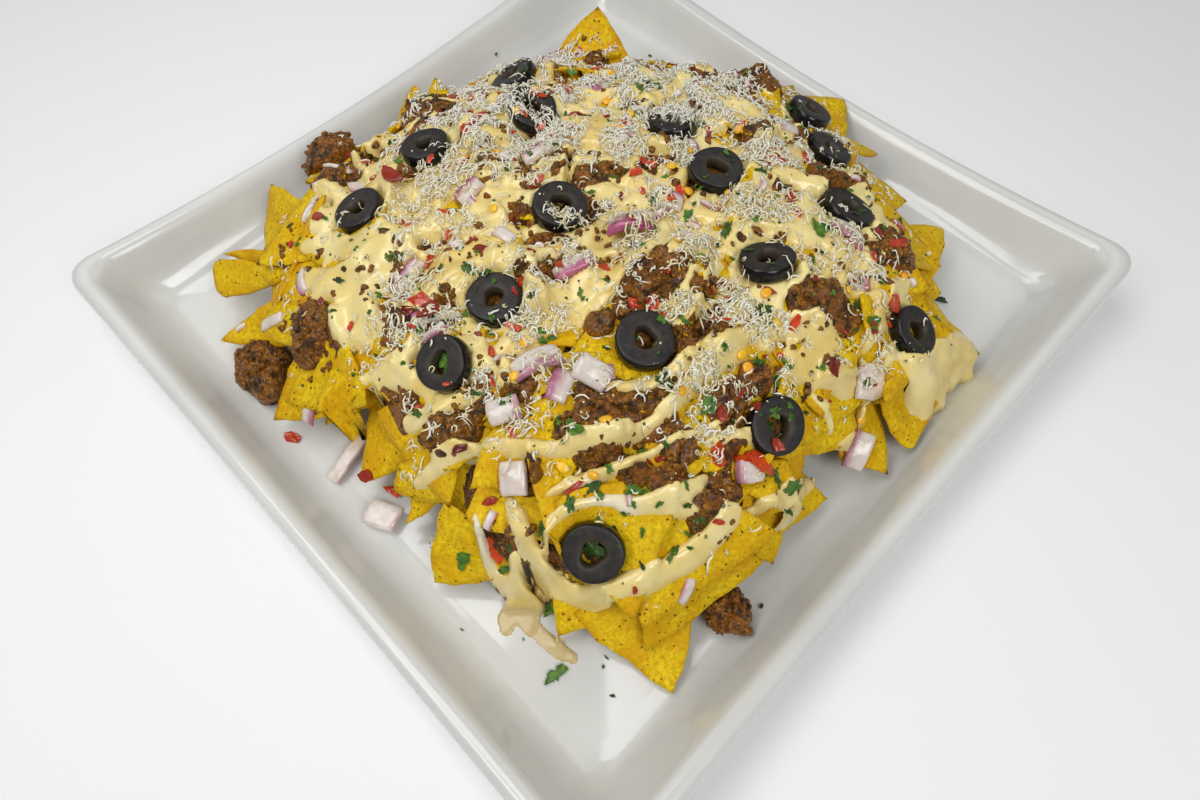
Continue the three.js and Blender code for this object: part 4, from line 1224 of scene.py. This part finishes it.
def sauce_shape(ground, toppings):
    """Sauce poured over the heap in strokes, and run down onto the plate."""
    u, v = ground.u, ground.v
    drawn = [(wide * (FRONT_SHARE if places[0][1] < FRONT else 1), deep, places)
             for wide, deep, places in STROKES + THIN_STROKES]
    kinds = [(stroke, False) for stroke in drawn + DOLLOPS + PUDDLE]
    kinds += [(stroke, True) for stroke in drizzle() + splashes()]
    inside, thick = poured(ground, kinds, 8)
    flat = level(u, v)
    torn = 1 + 1.1 * smoothstep(-88, -58, v)
    ragged = 0.14 * wave(flat, 5, 21) + 0.13 * wave(flat, 12, 22) + 0.08 * wave(flat, 2.6, 26)
    inside = inside + torn * ragged - 0.02
    inside = inside - 2 * around(u, v, [(a, b, 4.5) for a, b in OLIVES], 0.1)
    thick = 0.56 * thick * smoothstep(-0.02, 0.2, inside) * (1 + 0.26 * wave(flat, 7, 23))
    thick = thick + (0.42 * wave(flat, 3.4, 24) + 0.5 * wave(flat, 8, 25)) * smoothstep(0.1, 0.4, inside)
    bridged = 6 + 40 * around(u, v, WHOLE_SAUCE, 0.2)
    inside, z = hung(ground, blurred(inside, EDGE_BLUR), thick, bridged)
    return layer(ground, inside, z, toppings.under, 0.9, 26,
                 cream=lambda p: 0.85 * around(p[:, 0], p[:, 1], CREAM_SPOTS, 0.6),
                 thin=lambda p: smoothstep(FLOOR + 6, FLOOR + 2.5, p[:, 2]))


# ---- olives and onions -------------------------------------------------------------------------
OLIVE_STEPS = 60


def flat_axes(points):
    """Middle, long, wide and upward directions of a flat solid."""
    middle = (points.min(0) + points.max(0)) / 2
    _, _, axes = np.linalg.svd(points - points.mean(0), full_matrices=False)
    long, wide, up = axes
    if up[2] < 0:
        up = -up
    wide = np.cross(up, long)
    return middle, long, wide, up


def olive_shape(name, seed):
    """A slice of black olive: its vertices, its faces, and where it is skin and inner edge."""
    rng = np.random.default_rng(300 + seed)
    points = node_points(name)
    middle = points.mean(0)
    _, long, wide, up = flat_axes(points)
    outer = np.sqrt((((points - middle) - np.outer((points - middle) @ up, up)) ** 2).sum(1)).max()
    h = OLIVE_THICK / 2
    hole = OLIVE_HOLE * rng.uniform(0.78, 0.96)
    # radius, height, skin and inner edge
    lower = [(hole, -h + 0.2, 0, 0.7), (hole + 0.5, -h, 0, 0.5), (hole + 2.2, -h - 0.05, 0, 0),
             (outer - 1.6, -h, 0, 0), (outer - 0.7, -h + 0.05, 0.2, 0), (outer - 0.25, -h + 0.35, 1, 0),
             (outer - 0.05, -h * 0.4, 1, 0)]
    upper = [(r, -z, skin, inner) for r, z, skin, inner in reversed(lower)]
    section = np.array([*lower, (outer, 0, 1, 0), *upper, (hole - 0.2, 0, 0, 1)])
    angle = np.arange(OLIVE_STEPS) * 2 * np.pi / OLIVE_STEPS
    oval = 1 + 0.03 * np.cos(2 * angle + rng.uniform(0, 6)) + 0.015 * np.cos(3 * angle + rng.uniform(0, 6))
    corners = 1 + 0.11 * np.cos(2 * angle + rng.uniform(0, 6)) + 0.09 * np.cos(3 * angle + rng.uniform(0, 6))
    rings = []
    for r, z in section[:, :2]:
        near_hole = np.clip((outer - r) / (outer - hole), 0, 1) ** 2
        radius = r * (oval * (1 - near_hole) + corners * near_hole)
        rings.append(middle + np.outer(radius * np.cos(angle), long) + np.outer(radius * np.sin(angle), wide)
                     + z * up)
    skin, inner = (np.repeat(section[:, k], OLIVE_STEPS) for k in (2, 3))
    faces = grid_faces(len(section), OLIVE_STEPS, joined=True, looped=True)
    return np.concatenate(rings), faces, {"skin": skin, "inner": inner}


def olive_room(name, steps=24, radius=9.8):
    """The disc under a slice of olive, its hole filled."""
    points = node_points(name)
    _, long, wide, up = flat_axes(points)
    angle = np.arange(steps) * 2 * np.pi / steps
    rim = np.outer(np.cos(angle), long) * radius + np.outer(np.sin(angle), wide) * radius
    middle = points.mean(0) - up * OLIVE_THICK / 2
    i = np.arange(steps)
    return np.concatenate([middle[None], middle + rim]), np.stack([i * 0, 1 + i, 1 + (i + 1) % steps], 1)


def slab(long, wide, thick, bend, purple, seed, steps=(12, 8, 3)):
    """A cut piece of onion lying flat: rounded edges, arched like the layer it came from."""
    rng = np.random.default_rng(500 + seed)
    nx, ny, nz = steps
    index = {}
    quads = []

    def corner(i, j, k):
        return index.setdefault((i, j, k), len(index))

    for axis, end, flip in ((2, 0, True), (2, nz, False), (1, 0, False), (1, ny, True), (0, 0, True), (0, nx, False)):
        a, b = (k for k in range(3) if k != axis)
        for i, j in itertools.product(range(steps[a]), range(steps[b])):
            square = []
            for di, dj in ((0, 0), (1, 0), (1, 1), (0, 1)):
                at = [end, end, end]
                at[a], at[b] = i + di, j + dj
                square.append(corner(*at))
            quads.append(square[::-1] if flip else square)
    s = np.array(list(index)) / steps * 2 - 1
    round_x = np.sign(s[:, 0]) * np.abs(s[:, 0]) ** 0.8
    x = round_x * long / 2 * (1 - 0.06 * s[:, 2] ** 2)
    y = s[:, 1] * wide / 2 * (1 - 0.10 * s[:, 0] ** 2) * (1 - 0.06 * s[:, 2] ** 2)
    z = s[:, 2] * thick / 2 - bend * s[:, 0] ** 2
    edge = np.maximum(np.abs(s[:, 0]), np.abs(s[:, 1]))
    z -= np.sign(s[:, 2]) * 0.2 * smoothstep(0.85, 1, edge) * (np.abs(s[:, 2]) > 0.9)
    p = np.stack([x, y, z], 1)
    p += 0.35 * np.stack([wave(p + seed * 31, 5, 41 + c) for c in range(3)], 1)
    side = s[:, 1] * rng.choice([-1, 1])
    lean = smoothstep(1.0 - 1.7 * purple, 1.25 - 0.6 * purple, side + 0.25 * wave(p + seed * 17, 4, 44))
    colour_share = np.clip(lean * (0.55 + 0.45 * purple), 0, 1)
    return p, np.array(quads), colour_share


# the pieces of onion in order: how purple, thickness and bend
ONIONS = [(1.0, 3.4, 1.6), (0.9, 3, 1.4), (0.04, 3.2, 0.6), (0.35, 5, 0.6), (0.45, 3, 0.8), (0.45, 3, 1.6),
          (0.2, 3, 1.2), (0.3, 3, 1), (0.1, 3.4, 0.8), (0.5, 3, 1.2), (0.6, 3, 0.8), (0.8, 3, 1.2),
          (0.5, 3, 1), (0.8, 3, 1.2), (1.0, 3, 1.2), (0.8, 3, 1), (0.6, 3, 1), (0.7, 3, 0.8), (0.7, 3, 0.8)]


def add_onion(shape, name, purple, thick, bend, seed):
    """A piece of onion as long and wide as its solid, at the top of it."""
    points = node_points(name)
    axes = np.stack(flat_axes(points)[1:])
    along = (points - points.mean(0)) @ axes.T
    size = np.ptp(along, axis=0)
    middle = points.mean(0) + (along.min(0) + along.max(0)) / 2 @ axes
    p, quads, purple = slab(size[0], size[1], thick, bend, purple, seed)
    p[:, 2] += (size[2] - thick) / 2
    shape.add(middle + p @ axes, quads=quads, purple=purple)


# ---- scattered toppings --------------------------------------------------------------------------
# places that were read from the photo
SEEDS = [(-34, 69), (5, 60), (-16, 38), (28, 18), (55, 39), (34, 8), (43, 14), (48, 6), (-34, -5), (28, -21),
         (56, -40), (59, -49), (47, -60), (49, -64), (0, -99), (-9, -97), (4, -87), (-24, -71), (27, -75),
         (93, -68)]
FLAKES = [(-61, 85), (-53, 56), (-44, 43), (-47, 35), (-11, 63), (-9, 40), (-15, 34), (10, 26), (23, 23),
          (68, 23), (70, 3), (-74, 15), (-63, -6), (-62, -41), (-56, -39), (-53, -45), (-38, -22), (-23, -34),
          (19, -45), (3, -30), (109, -9), (104, -33), (117, 11), (147, -25), (78, -61), (39, -91), (46, -91),
          (52, -92), (-42, -88), (-32, -103), (-33, -114), (-6, -103), (-117, -63), (-82, -83), (-75, -85)]
LEAVES = [(14, 66), (25, 67), (-25, 34), (10, 40), (14, 33), (-9, 78), (23, 108), (62, 59), (80, 66), (42, 44),
          (60, 14), (54, -1), (-73, -10), (-69, -21), (-88, -26), (15, -25), (33, -5), (-41, -30), (-36, -31),
          (-13, -55), (29, -52), (143, -3), (127, -28), (94, -43), (78, -10), (56, -8), (46, -13), (52, -23),
          (74, -26), (55, -45), (22, -91), (22, -72), (59, -65), (55, -80), (36, -77), (64, -96), (58, -95),
          (68, -98), (28, -107), (33, -110), (63, -101), (-5, -89), (0, -102), (12, -103), (-7, -108),
          (-44, -115), (-30, -119), (-27, -115), (-16, -128), (-15, -113), (24, -119), (-37, -73), (-85, 6),
          (-46, -62), (20, -60), (57, -77), (0, -118), (18, 62), (22, 72), (52, -62), (62, -60)]
PLATE_HERBS = [(2, -147), (3, -144), (56, -128), (5, -156), (-46, -135), (-25, -138), (117, 94), (-50, 142),
               (27, 147)]
ONION_BITS = [(-105, -60), (-105, -20), (-109, 16), (-2, 69), (90, -3), (91, -30), (28, -128), (-52, -51),
              (-44, 5), (-30, -16), (-100, 33), (25, -1), (-10, -73), (1, -69)]
# strips of onion on the chips at the left: place, heading, length, width, how purple
ONION_STRIPS = [(-137, -17, 33, 14, 4.4, 0.05), (-121, -27, 7, 14, 4.2, 0.05), (-93, 27, 15, 9, 4.5, 0.4),
                (-109, 13, 35, 8, 3, 0.8)]
LEAF_CORNERS = 20


def laid(ground, u, v, size, spin, lift, own, steepest=1.0):
    """Copies of own points (n, k, 3) laid on the ground at places, turned by `spin`."""
    z, normal = ground.rest(u, v, size, steepest)
    heading = np.stack([np.cos(spin), np.sin(spin), np.zeros_like(spin)], 1)
    side = np.cross(normal, heading)
    side /= np.linalg.norm(side, axis=1)[:, None]
    heading = np.cross(side, normal)
    middle = np.stack([u, v, z], 1) + normal * np.asarray(lift).reshape(-1, 1)
    return (middle[:, None] + own[..., :1] * heading[:, None] + own[..., 1:2] * side[:, None]
            + own[..., 2:] * normal[:, None])


def scattered(rng, ground, count, share, spread=0.97, named=()):
    """Named places, then others on the heap drawn so that more fall where share(u, v) is higher."""
    found = np.zeros((0, 2))
    while len(found) < count:
        angle = rng.uniform(0, 2 * np.pi, count * 2)
        out = np.sqrt(rng.random(count * 2)) * spread * reach(angle)
        u, v = out * np.cos(angle), out * np.sin(angle)
        keep = (rng.random(count * 2) < share(u, v)) & ground.even(u, v)
        found = np.vstack([found, np.column_stack([u, v])[keep]])
    return np.vstack([np.reshape(named, (-1, 2)), found[:count]]).T


def copies(shape, points, tris, **values):
    """Adds n copies, points (n, k, 3), that share one set of triangles; each value is one a copy."""
    n, k, _ = points.shape
    all_tris = (np.asarray(tris)[None] + (np.arange(n) * k)[:, None, None]).reshape(-1, 3)
    shape.add(points.reshape(-1, 3), all_tris, **{key: np.repeat(v, k) for key, v in values.items()})


def everywhere(u, v):
    """An even share, for things that lie all over the heap."""
    return np.full(len(u), 0.5)


def cheese_share(u, v):
    """How thickly the grated cheese lies: most over the middle and the back, little at the front."""
    across = np.exp(-((u - 8) / 88) ** 4) * (0.62 + 0.38 * smoothstep(-20, 50, v))
    front = smoothstep(-110, -66, v)
    flat = level(u, v)
    clumpy = np.clip(0.30 + wave(flat, 12, 61) + 0.8 * wave(flat, 5, 62), 0.04, 1)
    thin = (1 - 0.8 * around(u, v, BEEF_SHOWS)) * (1 - 0.75 * around(u, v, CHIPS_SHOW))
    bare = [(a, b, 10) for i, (a, b) in enumerate(OLIVES) if i + 1 not in CHEESY_OLIVES]
    thin = thin * (1 - 0.97 * around(u, v, bare, 0.2))
    edge = smoothstep(0.99, 0.82, reach_share(u, v))
    return np.clip((0.03 + 0.97 * across * front * edge) * clumpy * thin, 0.006, 1)


OCTAHEDRON = np.array([(1, 0, 0), (-1, 0, 0), (0, 1, 0), (0, -1, 0), (0, 0, 1), (0, 0, -1)], float)
OCTAHEDRON_TRIS = [(0, 2, 4), (2, 1, 4), (1, 3, 4), (3, 0, 4), (2, 0, 5), (1, 2, 5), (3, 1, 5), (0, 3, 5)]


def cheese_curls(ground, count=6200, segments=5):
    """Fine curly shreds of white cheese."""
    rng = np.random.default_rng(71)
    u, v = scattered(rng, ground, count, cheese_share)
    long = 2.2 + 5.2 * rng.random(count) ** 1.5
    t = np.linspace(0, 1, segments + 1)[None]
    bend = rng.normal(0, 3.0, (count, 1)) * (0.6 + 0.8 * t) + rng.normal(0, 1.4, (count, 1)) * np.sin(2 * np.pi * t)
    angle = rng.uniform(0, 2 * np.pi, (count, 1)) + bend * t
    ds = (long / segments)[:, None]
    x = np.cumsum(np.cos(angle) * ds, 1)
    y = np.cumsum(np.sin(angle) * ds, 1)
    x -= x.mean(1, keepdims=True)
    y -= y.mean(1, keepdims=True)
    pu, pv = u[:, None] + x, v[:, None] + y
    height, normal = ground.rest(u, v, 6.0, 1.2)
    plane = height[:, None] - (normal[:, 0:1] * x + normal[:, 1:2] * y) / normal[:, 2:]
    own = ground.at(pu, pv)
    own = np.clip(own, plane - 3, plane + 3)
    arch = rng.uniform(0, 1.6, (count, 1)) * np.sin(np.pi * t)
    z = 0.35 * plane + 0.65 * own + 0.5 + arch + rng.uniform(0, 1.0, (count, 1))
    centre = np.stack([pu, pv, z], -1)
    along = np.gradient(centre, axis=1)
    along /= np.linalg.norm(along, axis=-1, keepdims=True)
    side = np.cross(along, np.array([0, 0, 1.0]))
    side /= np.maximum(np.linalg.norm(side, axis=-1, keepdims=True), 1e-6)
    up = np.cross(side, along)
    wide = rng.uniform(0.22, 0.44, (count, 1, 1)) * (0.6 + 0.4 * np.sin(np.pi * np.clip(t, 0.06, 0.94)))[..., None]
    ring = []
    for k in range(3):
        a = k * 2 * math.pi / 3 + 0.5
        ring.append(centre + side * wide * math.cos(a) + up * wide * 0.8 * math.sin(a))
    points = np.stack(ring, 2).reshape(count, -1, 3)
    tris = []
    for s in range(segments):
        for k in range(3):
            a, b = s * 3 + k, s * 3 + (k + 1) % 3
            tris += [(a, b + 3, b), (a, a + 3, b + 3)]
    tris += [(0, 1, 2), (segments * 3, segments * 3 + 2, segments * 3 + 1)]
    shape = Shape()
    copies(shape, points, tris, tint=rng.random(count) ** 1.3 * (1 - 0.75 * smoothstep(0, 50, v)))
    return shape


def crumbs(ground, count, size, share, seed, extra=()):
    """Tiny knobbly bits; `extra` adds places on the plate, with their spread and number."""
    rng = np.random.default_rng(seed)
    u, v = scattered(rng, ground, count, share, 0.99)
    for a, b, wide, more in extra:
        u = np.append(u, a + rng.normal(0, wide, more))
        v = np.append(v, b + rng.normal(0, wide, more))
    even = ground.even(u, v)
    u, v = u[even], v[even]
    n = len(u)
    own = OCTAHEDRON * rng.uniform(size[0], size[1], (n, 1, 1)) * rng.uniform(0.6, 1.3, (n, 1, 3))
    own = own + rng.normal(0, size[0] * 0.22, own.shape)
    points = laid(ground, u, v, 2.0, rng.uniform(0, 6.28, n), size[0] * 0.5, own)
    shape = Shape()
    copies(shape, points, OCTAHEDRON_TRIS, tint=rng.random(n), dried=rng.random(n))
    return shape


def knobbly(directions, size, stretch, salt, depth, seed):
    """Lumpy balls of some sizes, each stretched along its axes."""
    salt = np.arange(len(stretch))[:, None, None] * salt
    lumpy = 1 + depth * wave(directions[None] * 1.3 + salt, 1.0, seed)[..., None]
    return directions[None] * size * stretch * lumpy


def beef_crumbs(shape, ground, toppings, count, share, size, seed):
    """Loose crumbs of minced beef, clear of the larger toppings."""

    def free(u, v):
        return share(u, v) * (toppings.clearance(u, v) == Ground.FREE)

    rng = np.random.default_rng(seed)
    u, v = scattered(rng, ground, count, free, 0.92)
    directions, tris = ball(2)
    size = rng.uniform(*size, count)
    own = knobbly(directions, size[:, None, None], rng.uniform(0.55, 1.6, (count, 1, 3)), 17.0, 0.32, 5)
    copies(shape, laid(ground, u, v, 4.0, rng.uniform(0, 6.28, count), size * 0.15, own), tris)


def beef_in_gaps(u, v):
    """Where crumbs of beef lie under the sauce: where the beef shows."""
    return 0.01 + 0.99 * around(u, v, BEEF_SHOWS, 0.35)


def beef_on_sauce(u, v):
    """Where crumbs of beef lie on the sauce: in drifts, not at the front."""
    flat = level(u, v)
    return np.clip(1.3 * wave(flat, 13, 66) + 0.8 * wave(flat, 4, 67) - 0.25, 0.01, 1) * smoothstep(-100, -70, v)


def clump_grains(shapes, each=56):
    """Grains of mince that stand out of the clumps."""
    rng = np.random.default_rng(83)
    directions, tris = ball(2)
    shape = Shape()
    for clump in shapes:
        p = clump.points()
        middle = p.mean(0)
        at = p[rng.integers(0, len(p), each)]
        at = at[at[:, 2] > middle[2] - 3]
        n = len(at)
        own = knobbly(directions, rng.uniform(0.6, 1.5, (n, 1, 1)), rng.uniform(0.6, 1.5, (n, 1, 3)), 13.0, 0.35, 6)
        outward = (at - middle) / np.linalg.norm(at - middle, axis=1)[:, None]
        copies(shape, own + (at + outward * 0.2)[:, None], tris)
    return shape


def thin_bits(ground, u, v, long, wide, thick, outline, seed, lift, bend, **values):
    """Thin closed bits with a many-cornered outline, cupped, both faces split alike."""
    rng = np.random.default_rng(seed)
    n, corners = outline.shape
    angle = np.arange(corners) * 2 * np.pi / corners
    rings = []
    for share in (0.5, 1.0):
        x = outline * np.cos(angle) * share * long[:, None] / 2
        y = outline * np.sin(angle) * share * wide[:, None] / 2
        rings.append(np.stack([x, y, np.zeros_like(x)], -1))
    flat = np.concatenate([np.zeros((n, 1, 3)), *rings], 1)
    cup = rng.uniform(-bend, bend, (n, 1)) * flat[..., 0] ** 2 / np.maximum(long[:, None], 1)
    cup += rng.uniform(-bend, bend, (n, 1)) * flat[..., 1] ** 2 / np.maximum(wide[:, None], 1)
    cup += rng.normal(0, 0.12, cup.shape) * (long[:, None] > 2)
    flat[..., 2] = cup
    over, under = flat.copy(), flat.copy()
    over[..., 2] += thick / 2
    under[..., 2] -= thick / 2
    own = np.concatenate([over, under], 1)
    k = 1 + 2 * corners
    tris = []
    for i in range(corners):
        j = (i + 1) % corners
        a, b, c, d = 1 + i, 1 + j, 1 + corners + i, 1 + corners + j
        tris += [(0, a, b), (a, c, d), (a, d, b), (k, b + k, a + k), (a + k, d + k, c + k), (a + k, b + k, d + k)]
        tris += [(c, c + k, d + k), (c, d + k, d)]
    points = laid(ground, u, v, 3.0, rng.uniform(0, 6.28, n), lift, own)
    shape = Shape()
    copies(shape, points, tris, **values)
    return shape


def seeds_shape(ground):
    """Flat oval chilli seeds."""
    rng = np.random.default_rng(91)
    u, v = scattered(rng, ground, 26, cheese_share, 0.9, SEEDS)
    n = len(u)
    directions, tris = ball(3)
    own = directions[None] * rng.uniform(0.8, 1.1, (n, 1, 1)) * np.array([2.0, 1.6, 0.7])
    shape = Shape()
    copies(shape, laid(ground, u, v, 3.0, rng.uniform(0, 6.28, n), 0.6, own), tris, tint=rng.random(n))
    return shape


def flakes_shape(ground):
    """Flakes of dried and fresh chilli."""
    rng = np.random.default_rng(92)
    u, v = scattered(rng, ground, 170, lambda a, b: np.clip(cheese_share(a, b) + 0.2, 0, 1), 0.93, FLAKES)
    n = len(u)
    outline = 1 + rng.uniform(-0.36, 0.36, (n, 7))
    long = np.append(rng.uniform(5.5, 10, len(FLAKES)), rng.uniform(2.2, 6, n - len(FLAKES)))
    wide = long * rng.uniform(0.34, 0.7, n)
    return thin_bits(ground, u, v, long, wide, 0.6, outline, 93, 0.6, 0.4, dried=rng.random(n) ** 1.6)


def leaves_shape(ground):
    """Lobed bits of parsley on the heap, and a few on the plate."""
    rng = np.random.default_rng(94)
    u, v = scattered(rng, ground, 300, everywhere, 0.9, LEAVES + PLATE_HERBS)
    n = len(u)
    angle = np.arange(LEAF_CORNERS) * 2 * np.pi / LEAF_CORNERS
    lobes = rng.integers(3, 6, (n, 1))
    outline = 0.50 + 0.50 * np.abs(np.cos(lobes * angle / 2 + rng.uniform(0, 3, (n, 1)))) ** 0.8
    outline = outline * (1 + rng.uniform(-0.24, 0.2, (n, LEAF_CORNERS)))
    kinds = ((3.8, 8.4, len(LEAVES)), (1.5, 2.4, len(PLATE_HERBS)), (1.2, 4.2, 300))
    long = np.concatenate([rng.uniform(*kind) for kind in kinds])
    wide = long * rng.uniform(0.35, 0.8, n)
    return thin_bits(ground, u, v, long, wide, 0.3, outline, 95, 0.5, 0.5, dried=rng.random(n) ** 3)


def fallen_leaf(ground):
    """The jagged leaf of parsley that has fallen on the plate."""
    u, v, _ = node_points("parsley_fallen").mean(0)
    angle = np.arange(LEAF_CORNERS) * 2 * np.pi / LEAF_CORNERS
    jagged = 0.72 + 0.2 * np.cos(2 * angle + 0.6) + 0.16 * np.cos(5 * angle) + 0.12 * np.cos(9 * angle + 1)
    return thin_bits(ground, np.array([u]), np.array([v]), np.array([9.5]), np.array([6.0]), 0.4, jagged[None],
                     97, 0.9, 0.3, dried=np.array([0.1]))


def onion_bits(ground, shape):
    """Smaller pieces of onion than those that are solids of their own."""

    def add(i, place, long, wide, thick, bend, purple, steps, size, spin, lift):
        p, quads, shade = slab(long, wide, thick, bend, purple, i, steps)
        at = np.array(place)[:, None]
        shape.add(laid(ground, *at, size, np.array([spin]), lift, p[None])[0], quads=quads, purple=shade)

    rng = np.random.default_rng(96)
    drawn = scattered(rng, ground, 34, lambda a, b: np.clip(cheese_share(a, b) + 0.1, 0, 1), 0.9).T
    clear = [(a, b) for a, b in drawn if min(math.hypot(a - c, b - d) for c, d in OLIVES) > 12]
    for i, place in enumerate(ONION_BITS + clear):
        long = rng.uniform(8, 12) if i < len(ONION_BITS) else rng.uniform(3.5, 6.5)
        wide, thick, purple = long * rng.uniform(0.3, 0.6), rng.uniform(1.2, 1.9), rng.random() ** 0.7
        add(700 + i, place, long, wide, thick, 0.8, purple, (6, 4, 2), 5.0, rng.uniform(0, 6.28), 0.8)
    for i, (a, b, heading, long, wide, purple) in enumerate(ONION_STRIPS):
        add(800 + i, (a, b), long, wide, 2.0, 0.6, purple, (10, 5, 2), 9.0, math.radians(heading), 0.9)


# ---- everything is made -----------------------------------------------------------------------
beef = beef_look("minced_beef", (48, 28, 4), (156, 98, 14))
# painted shade: a darker copy of the minced beef for the core, which lies deep under the chips
shaded_core_beef = beef_look("minced_beef_core_shaded", (40, 22, 5), (104, 64, 16))
cheese, herb = cheese_look(), herb_look()

BEEF_NODES = sorted(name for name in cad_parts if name.startswith("beef_"))
OLIVE_NODES = [f"olive_{k}" for k in range(1, len(OLIVES) + 1)]
ONION_NODES = [f"onion_{k}" for k in range(1, len(ONIONS) + 1)]

plate_shown = plate_shape()
core_shown = core_shape()
clumps = [clump_shape(name, 20 + i) for i, name in enumerate(BEEF_NODES)]
olives = Shape()
for k, name in enumerate(OLIVE_NODES, 1):
    points, quads, values = olive_shape(name, k)
    olives.add(points, quads=quads, **values)
onions = Shape()
for k, (name, piece_facts) in enumerate(zip(ONION_NODES, ONIONS), 1):
    add_onion(onions, name, *piece_facts, k)
add_onion(onions, "onion_fallen_strip", 0.15, 3, 0.6, 30)
add_onion(onions, "onion_fallen_piece", 0.12, 3, 0.8, 31)

# the larger toppings, which what is under them keeps clear of
room = Shape()
for topping in (olives, onions):
    room.add(topping.points(), quads=topping.faces()[1])
for name in OLIVE_NODES:
    room.add(*olive_room(name))
toppings = Ground([room])
toppings.find_underside()

# the heap is laid from the plate up, each layer on what lies there
chips = chips_shape(toppings)
ground = Ground([plate_shown, core_shown, chips, *clumps])
mince = mince_shape(ground, toppings)
beef_bits = Shape()
beef_crumbs(beef_bits, ground, toppings, 400, beef_in_gaps, (0.6, 1.7), 81)
sauce = sauce_shape(ground, toppings)
beef_crumbs(beef_bits, ground, toppings, 430, beef_on_sauce, (0.4, 1.35), 82)
onion_bits(ground, onions)
ground.top = np.maximum(ground.top, toppings.top)
CHEESE_ON_PLATE = [(-69, -72, 5, 30), (-56, -100, 4, 60), (-64, -90, 4, 60)]
cheese_bits = crumbs(ground, 7000, (0.26, 0.62), cheese_share, 72, CHEESE_ON_PLATE)

piece("plate_glazed", plate_shown, glaze_look(), ["plate"])
piece("chips", chips, chip_look(), ["heap"])
piece("core", core_shown, shaded_core_beef)
for name, shape in zip(BEEF_NODES, clumps):
    piece(name + "_minced", shape, beef, [name])
piece("mince", mince, beef)
piece("beef_crumbs", beef_bits, beef)
piece("beef_grains", clump_grains(clumps), beef)
piece("sauce", sauce, sauce_look())
piece("olives", olives, olive_look(), OLIVE_NODES)
piece("onions", onions, onion_look(), [*ONION_NODES, "onion_fallen_strip", "onion_fallen_piece"])
piece("cheese_curls", cheese_curls(ground), cheese)
piece("cheese_crumbs", cheese_bits, cheese)
piece("seeds", seeds_shape(ground), seed_look())
piece("chilli_flakes", flakes_shape(ground), pepper_look(), smooth=False)
piece("parsley_leaves", leaves_shape(ground), herb, smooth=False)
piece("parsley_specks", crumbs(ground, 550, (0.28, 0.65), lambda u, v: np.full(len(u), 0.6), 73), herb)
piece("parsley_on_plate", fallen_leaf(ground), herb, ["parsley_fallen"])

# ---- floor, light and camera ---------------------------------------------------------------------
FLOOR_HALF = 4  # metres
FLOOR_UNDER = 0.0004  # so that the floor and the plate's foot don't share a plane
floor_mesh = bpy.data.meshes.new("floor")
corners = [(x * FLOOR_HALF, y * FLOOR_HALF, -FLOOR_UNDER) for x, y in ((-1, -1), (1, -1), (1, 1), (-1, 1))]
floor_mesh.from_pydata(corners, [], [(0, 1, 2, 3)])
floor = bpy.data.objects.new("floor", floor_mesh)
bpy.context.scene.collection.objects.link(floor)
paper = Look("pale_floor", 0.8)
paper.set("Base Color", paper.mix(paper.noise(300, 2), (248, 248, 248), (252, 252, 252)))
floor_mesh.materials.append(paper.material)

# name, place in the food's frame, side of the square, in metres, and power
LAMPS = [
    ("front_left", (-0.40, -0.25, 0.60), 0.28, 1.0),
    ("top_left", (-0.20, 0.02, 0.62), 0.32, 1.15),
    ("front_right", (0.35, -0.55, 0.75), 0.42, 3.4),
    ("back_left", (-0.45, 0.40, 0.60), 0.50, 0.7),
    ("back_right", (0.35, 0.45, 0.70), 0.50, 0.5),
]
HEAP_MIDDLE = Vector((0, 0, 0.03))


def aimed(name, data, place, target, roll=0.0):
    """A lamp or camera at a place that looks at a target, both in row-frame metres."""
    thing = bpy.data.objects.new(name, data)
    thing.location = place
    thing.rotation_mode = "QUATERNION"
    thing.rotation_quaternion = (target - place).to_track_quat("-Z", "Y") @ Quaternion((0, 0, 1), roll)
    bpy.context.scene.collection.objects.link(thing)
    return thing


def row_place(u, v, z):
    """A place in food-frame metres as a row-frame vector."""
    return Vector(to_row(np.array([[u, v, z]]) * 1000)[0])


for name, place, side, power in LAMPS:
    data = bpy.data.lights.new(name, "AREA")
    data.size = side
    data.energy = power
    aimed(name, data, row_place(*place), HEAP_MIDDLE)

world = bpy.data.worlds.new("studio")
world.use_nodes = True
background = world.node_tree.nodes["Background"].inputs
background["Color"].default_value = (0.95, 0.975, 1.0, 1)
background["Strength"].default_value = 0.18
bpy.context.scene.world = world

# fitted to the plate's corners and rims in the photo
FOCAL_PIXELS, PHOTO_WIDE = 758.565, 1200
CAMERA_AT = (0.005842, -0.181315, 0.273261)
CAMERA_TARGET = (0.0010201, -0.0435089, 0)
CAMERA_ROLL = -2.40300  # degrees
data = bpy.data.cameras.new("camera")
data.sensor_width = 36
data.sensor_fit = "HORIZONTAL"
data.lens = FOCAL_PIXELS / PHOTO_WIDE * data.sensor_width
data.clip_start, data.clip_end = 0.01, 20
bpy.context.scene.camera = aimed("camera", data, row_place(*CAMERA_AT), row_place(*CAMERA_TARGET),
                                 math.radians(CAMERA_ROLL))

view = bpy.context.scene.view_settings
view.view_transform = "Standard"
view.look = "None"
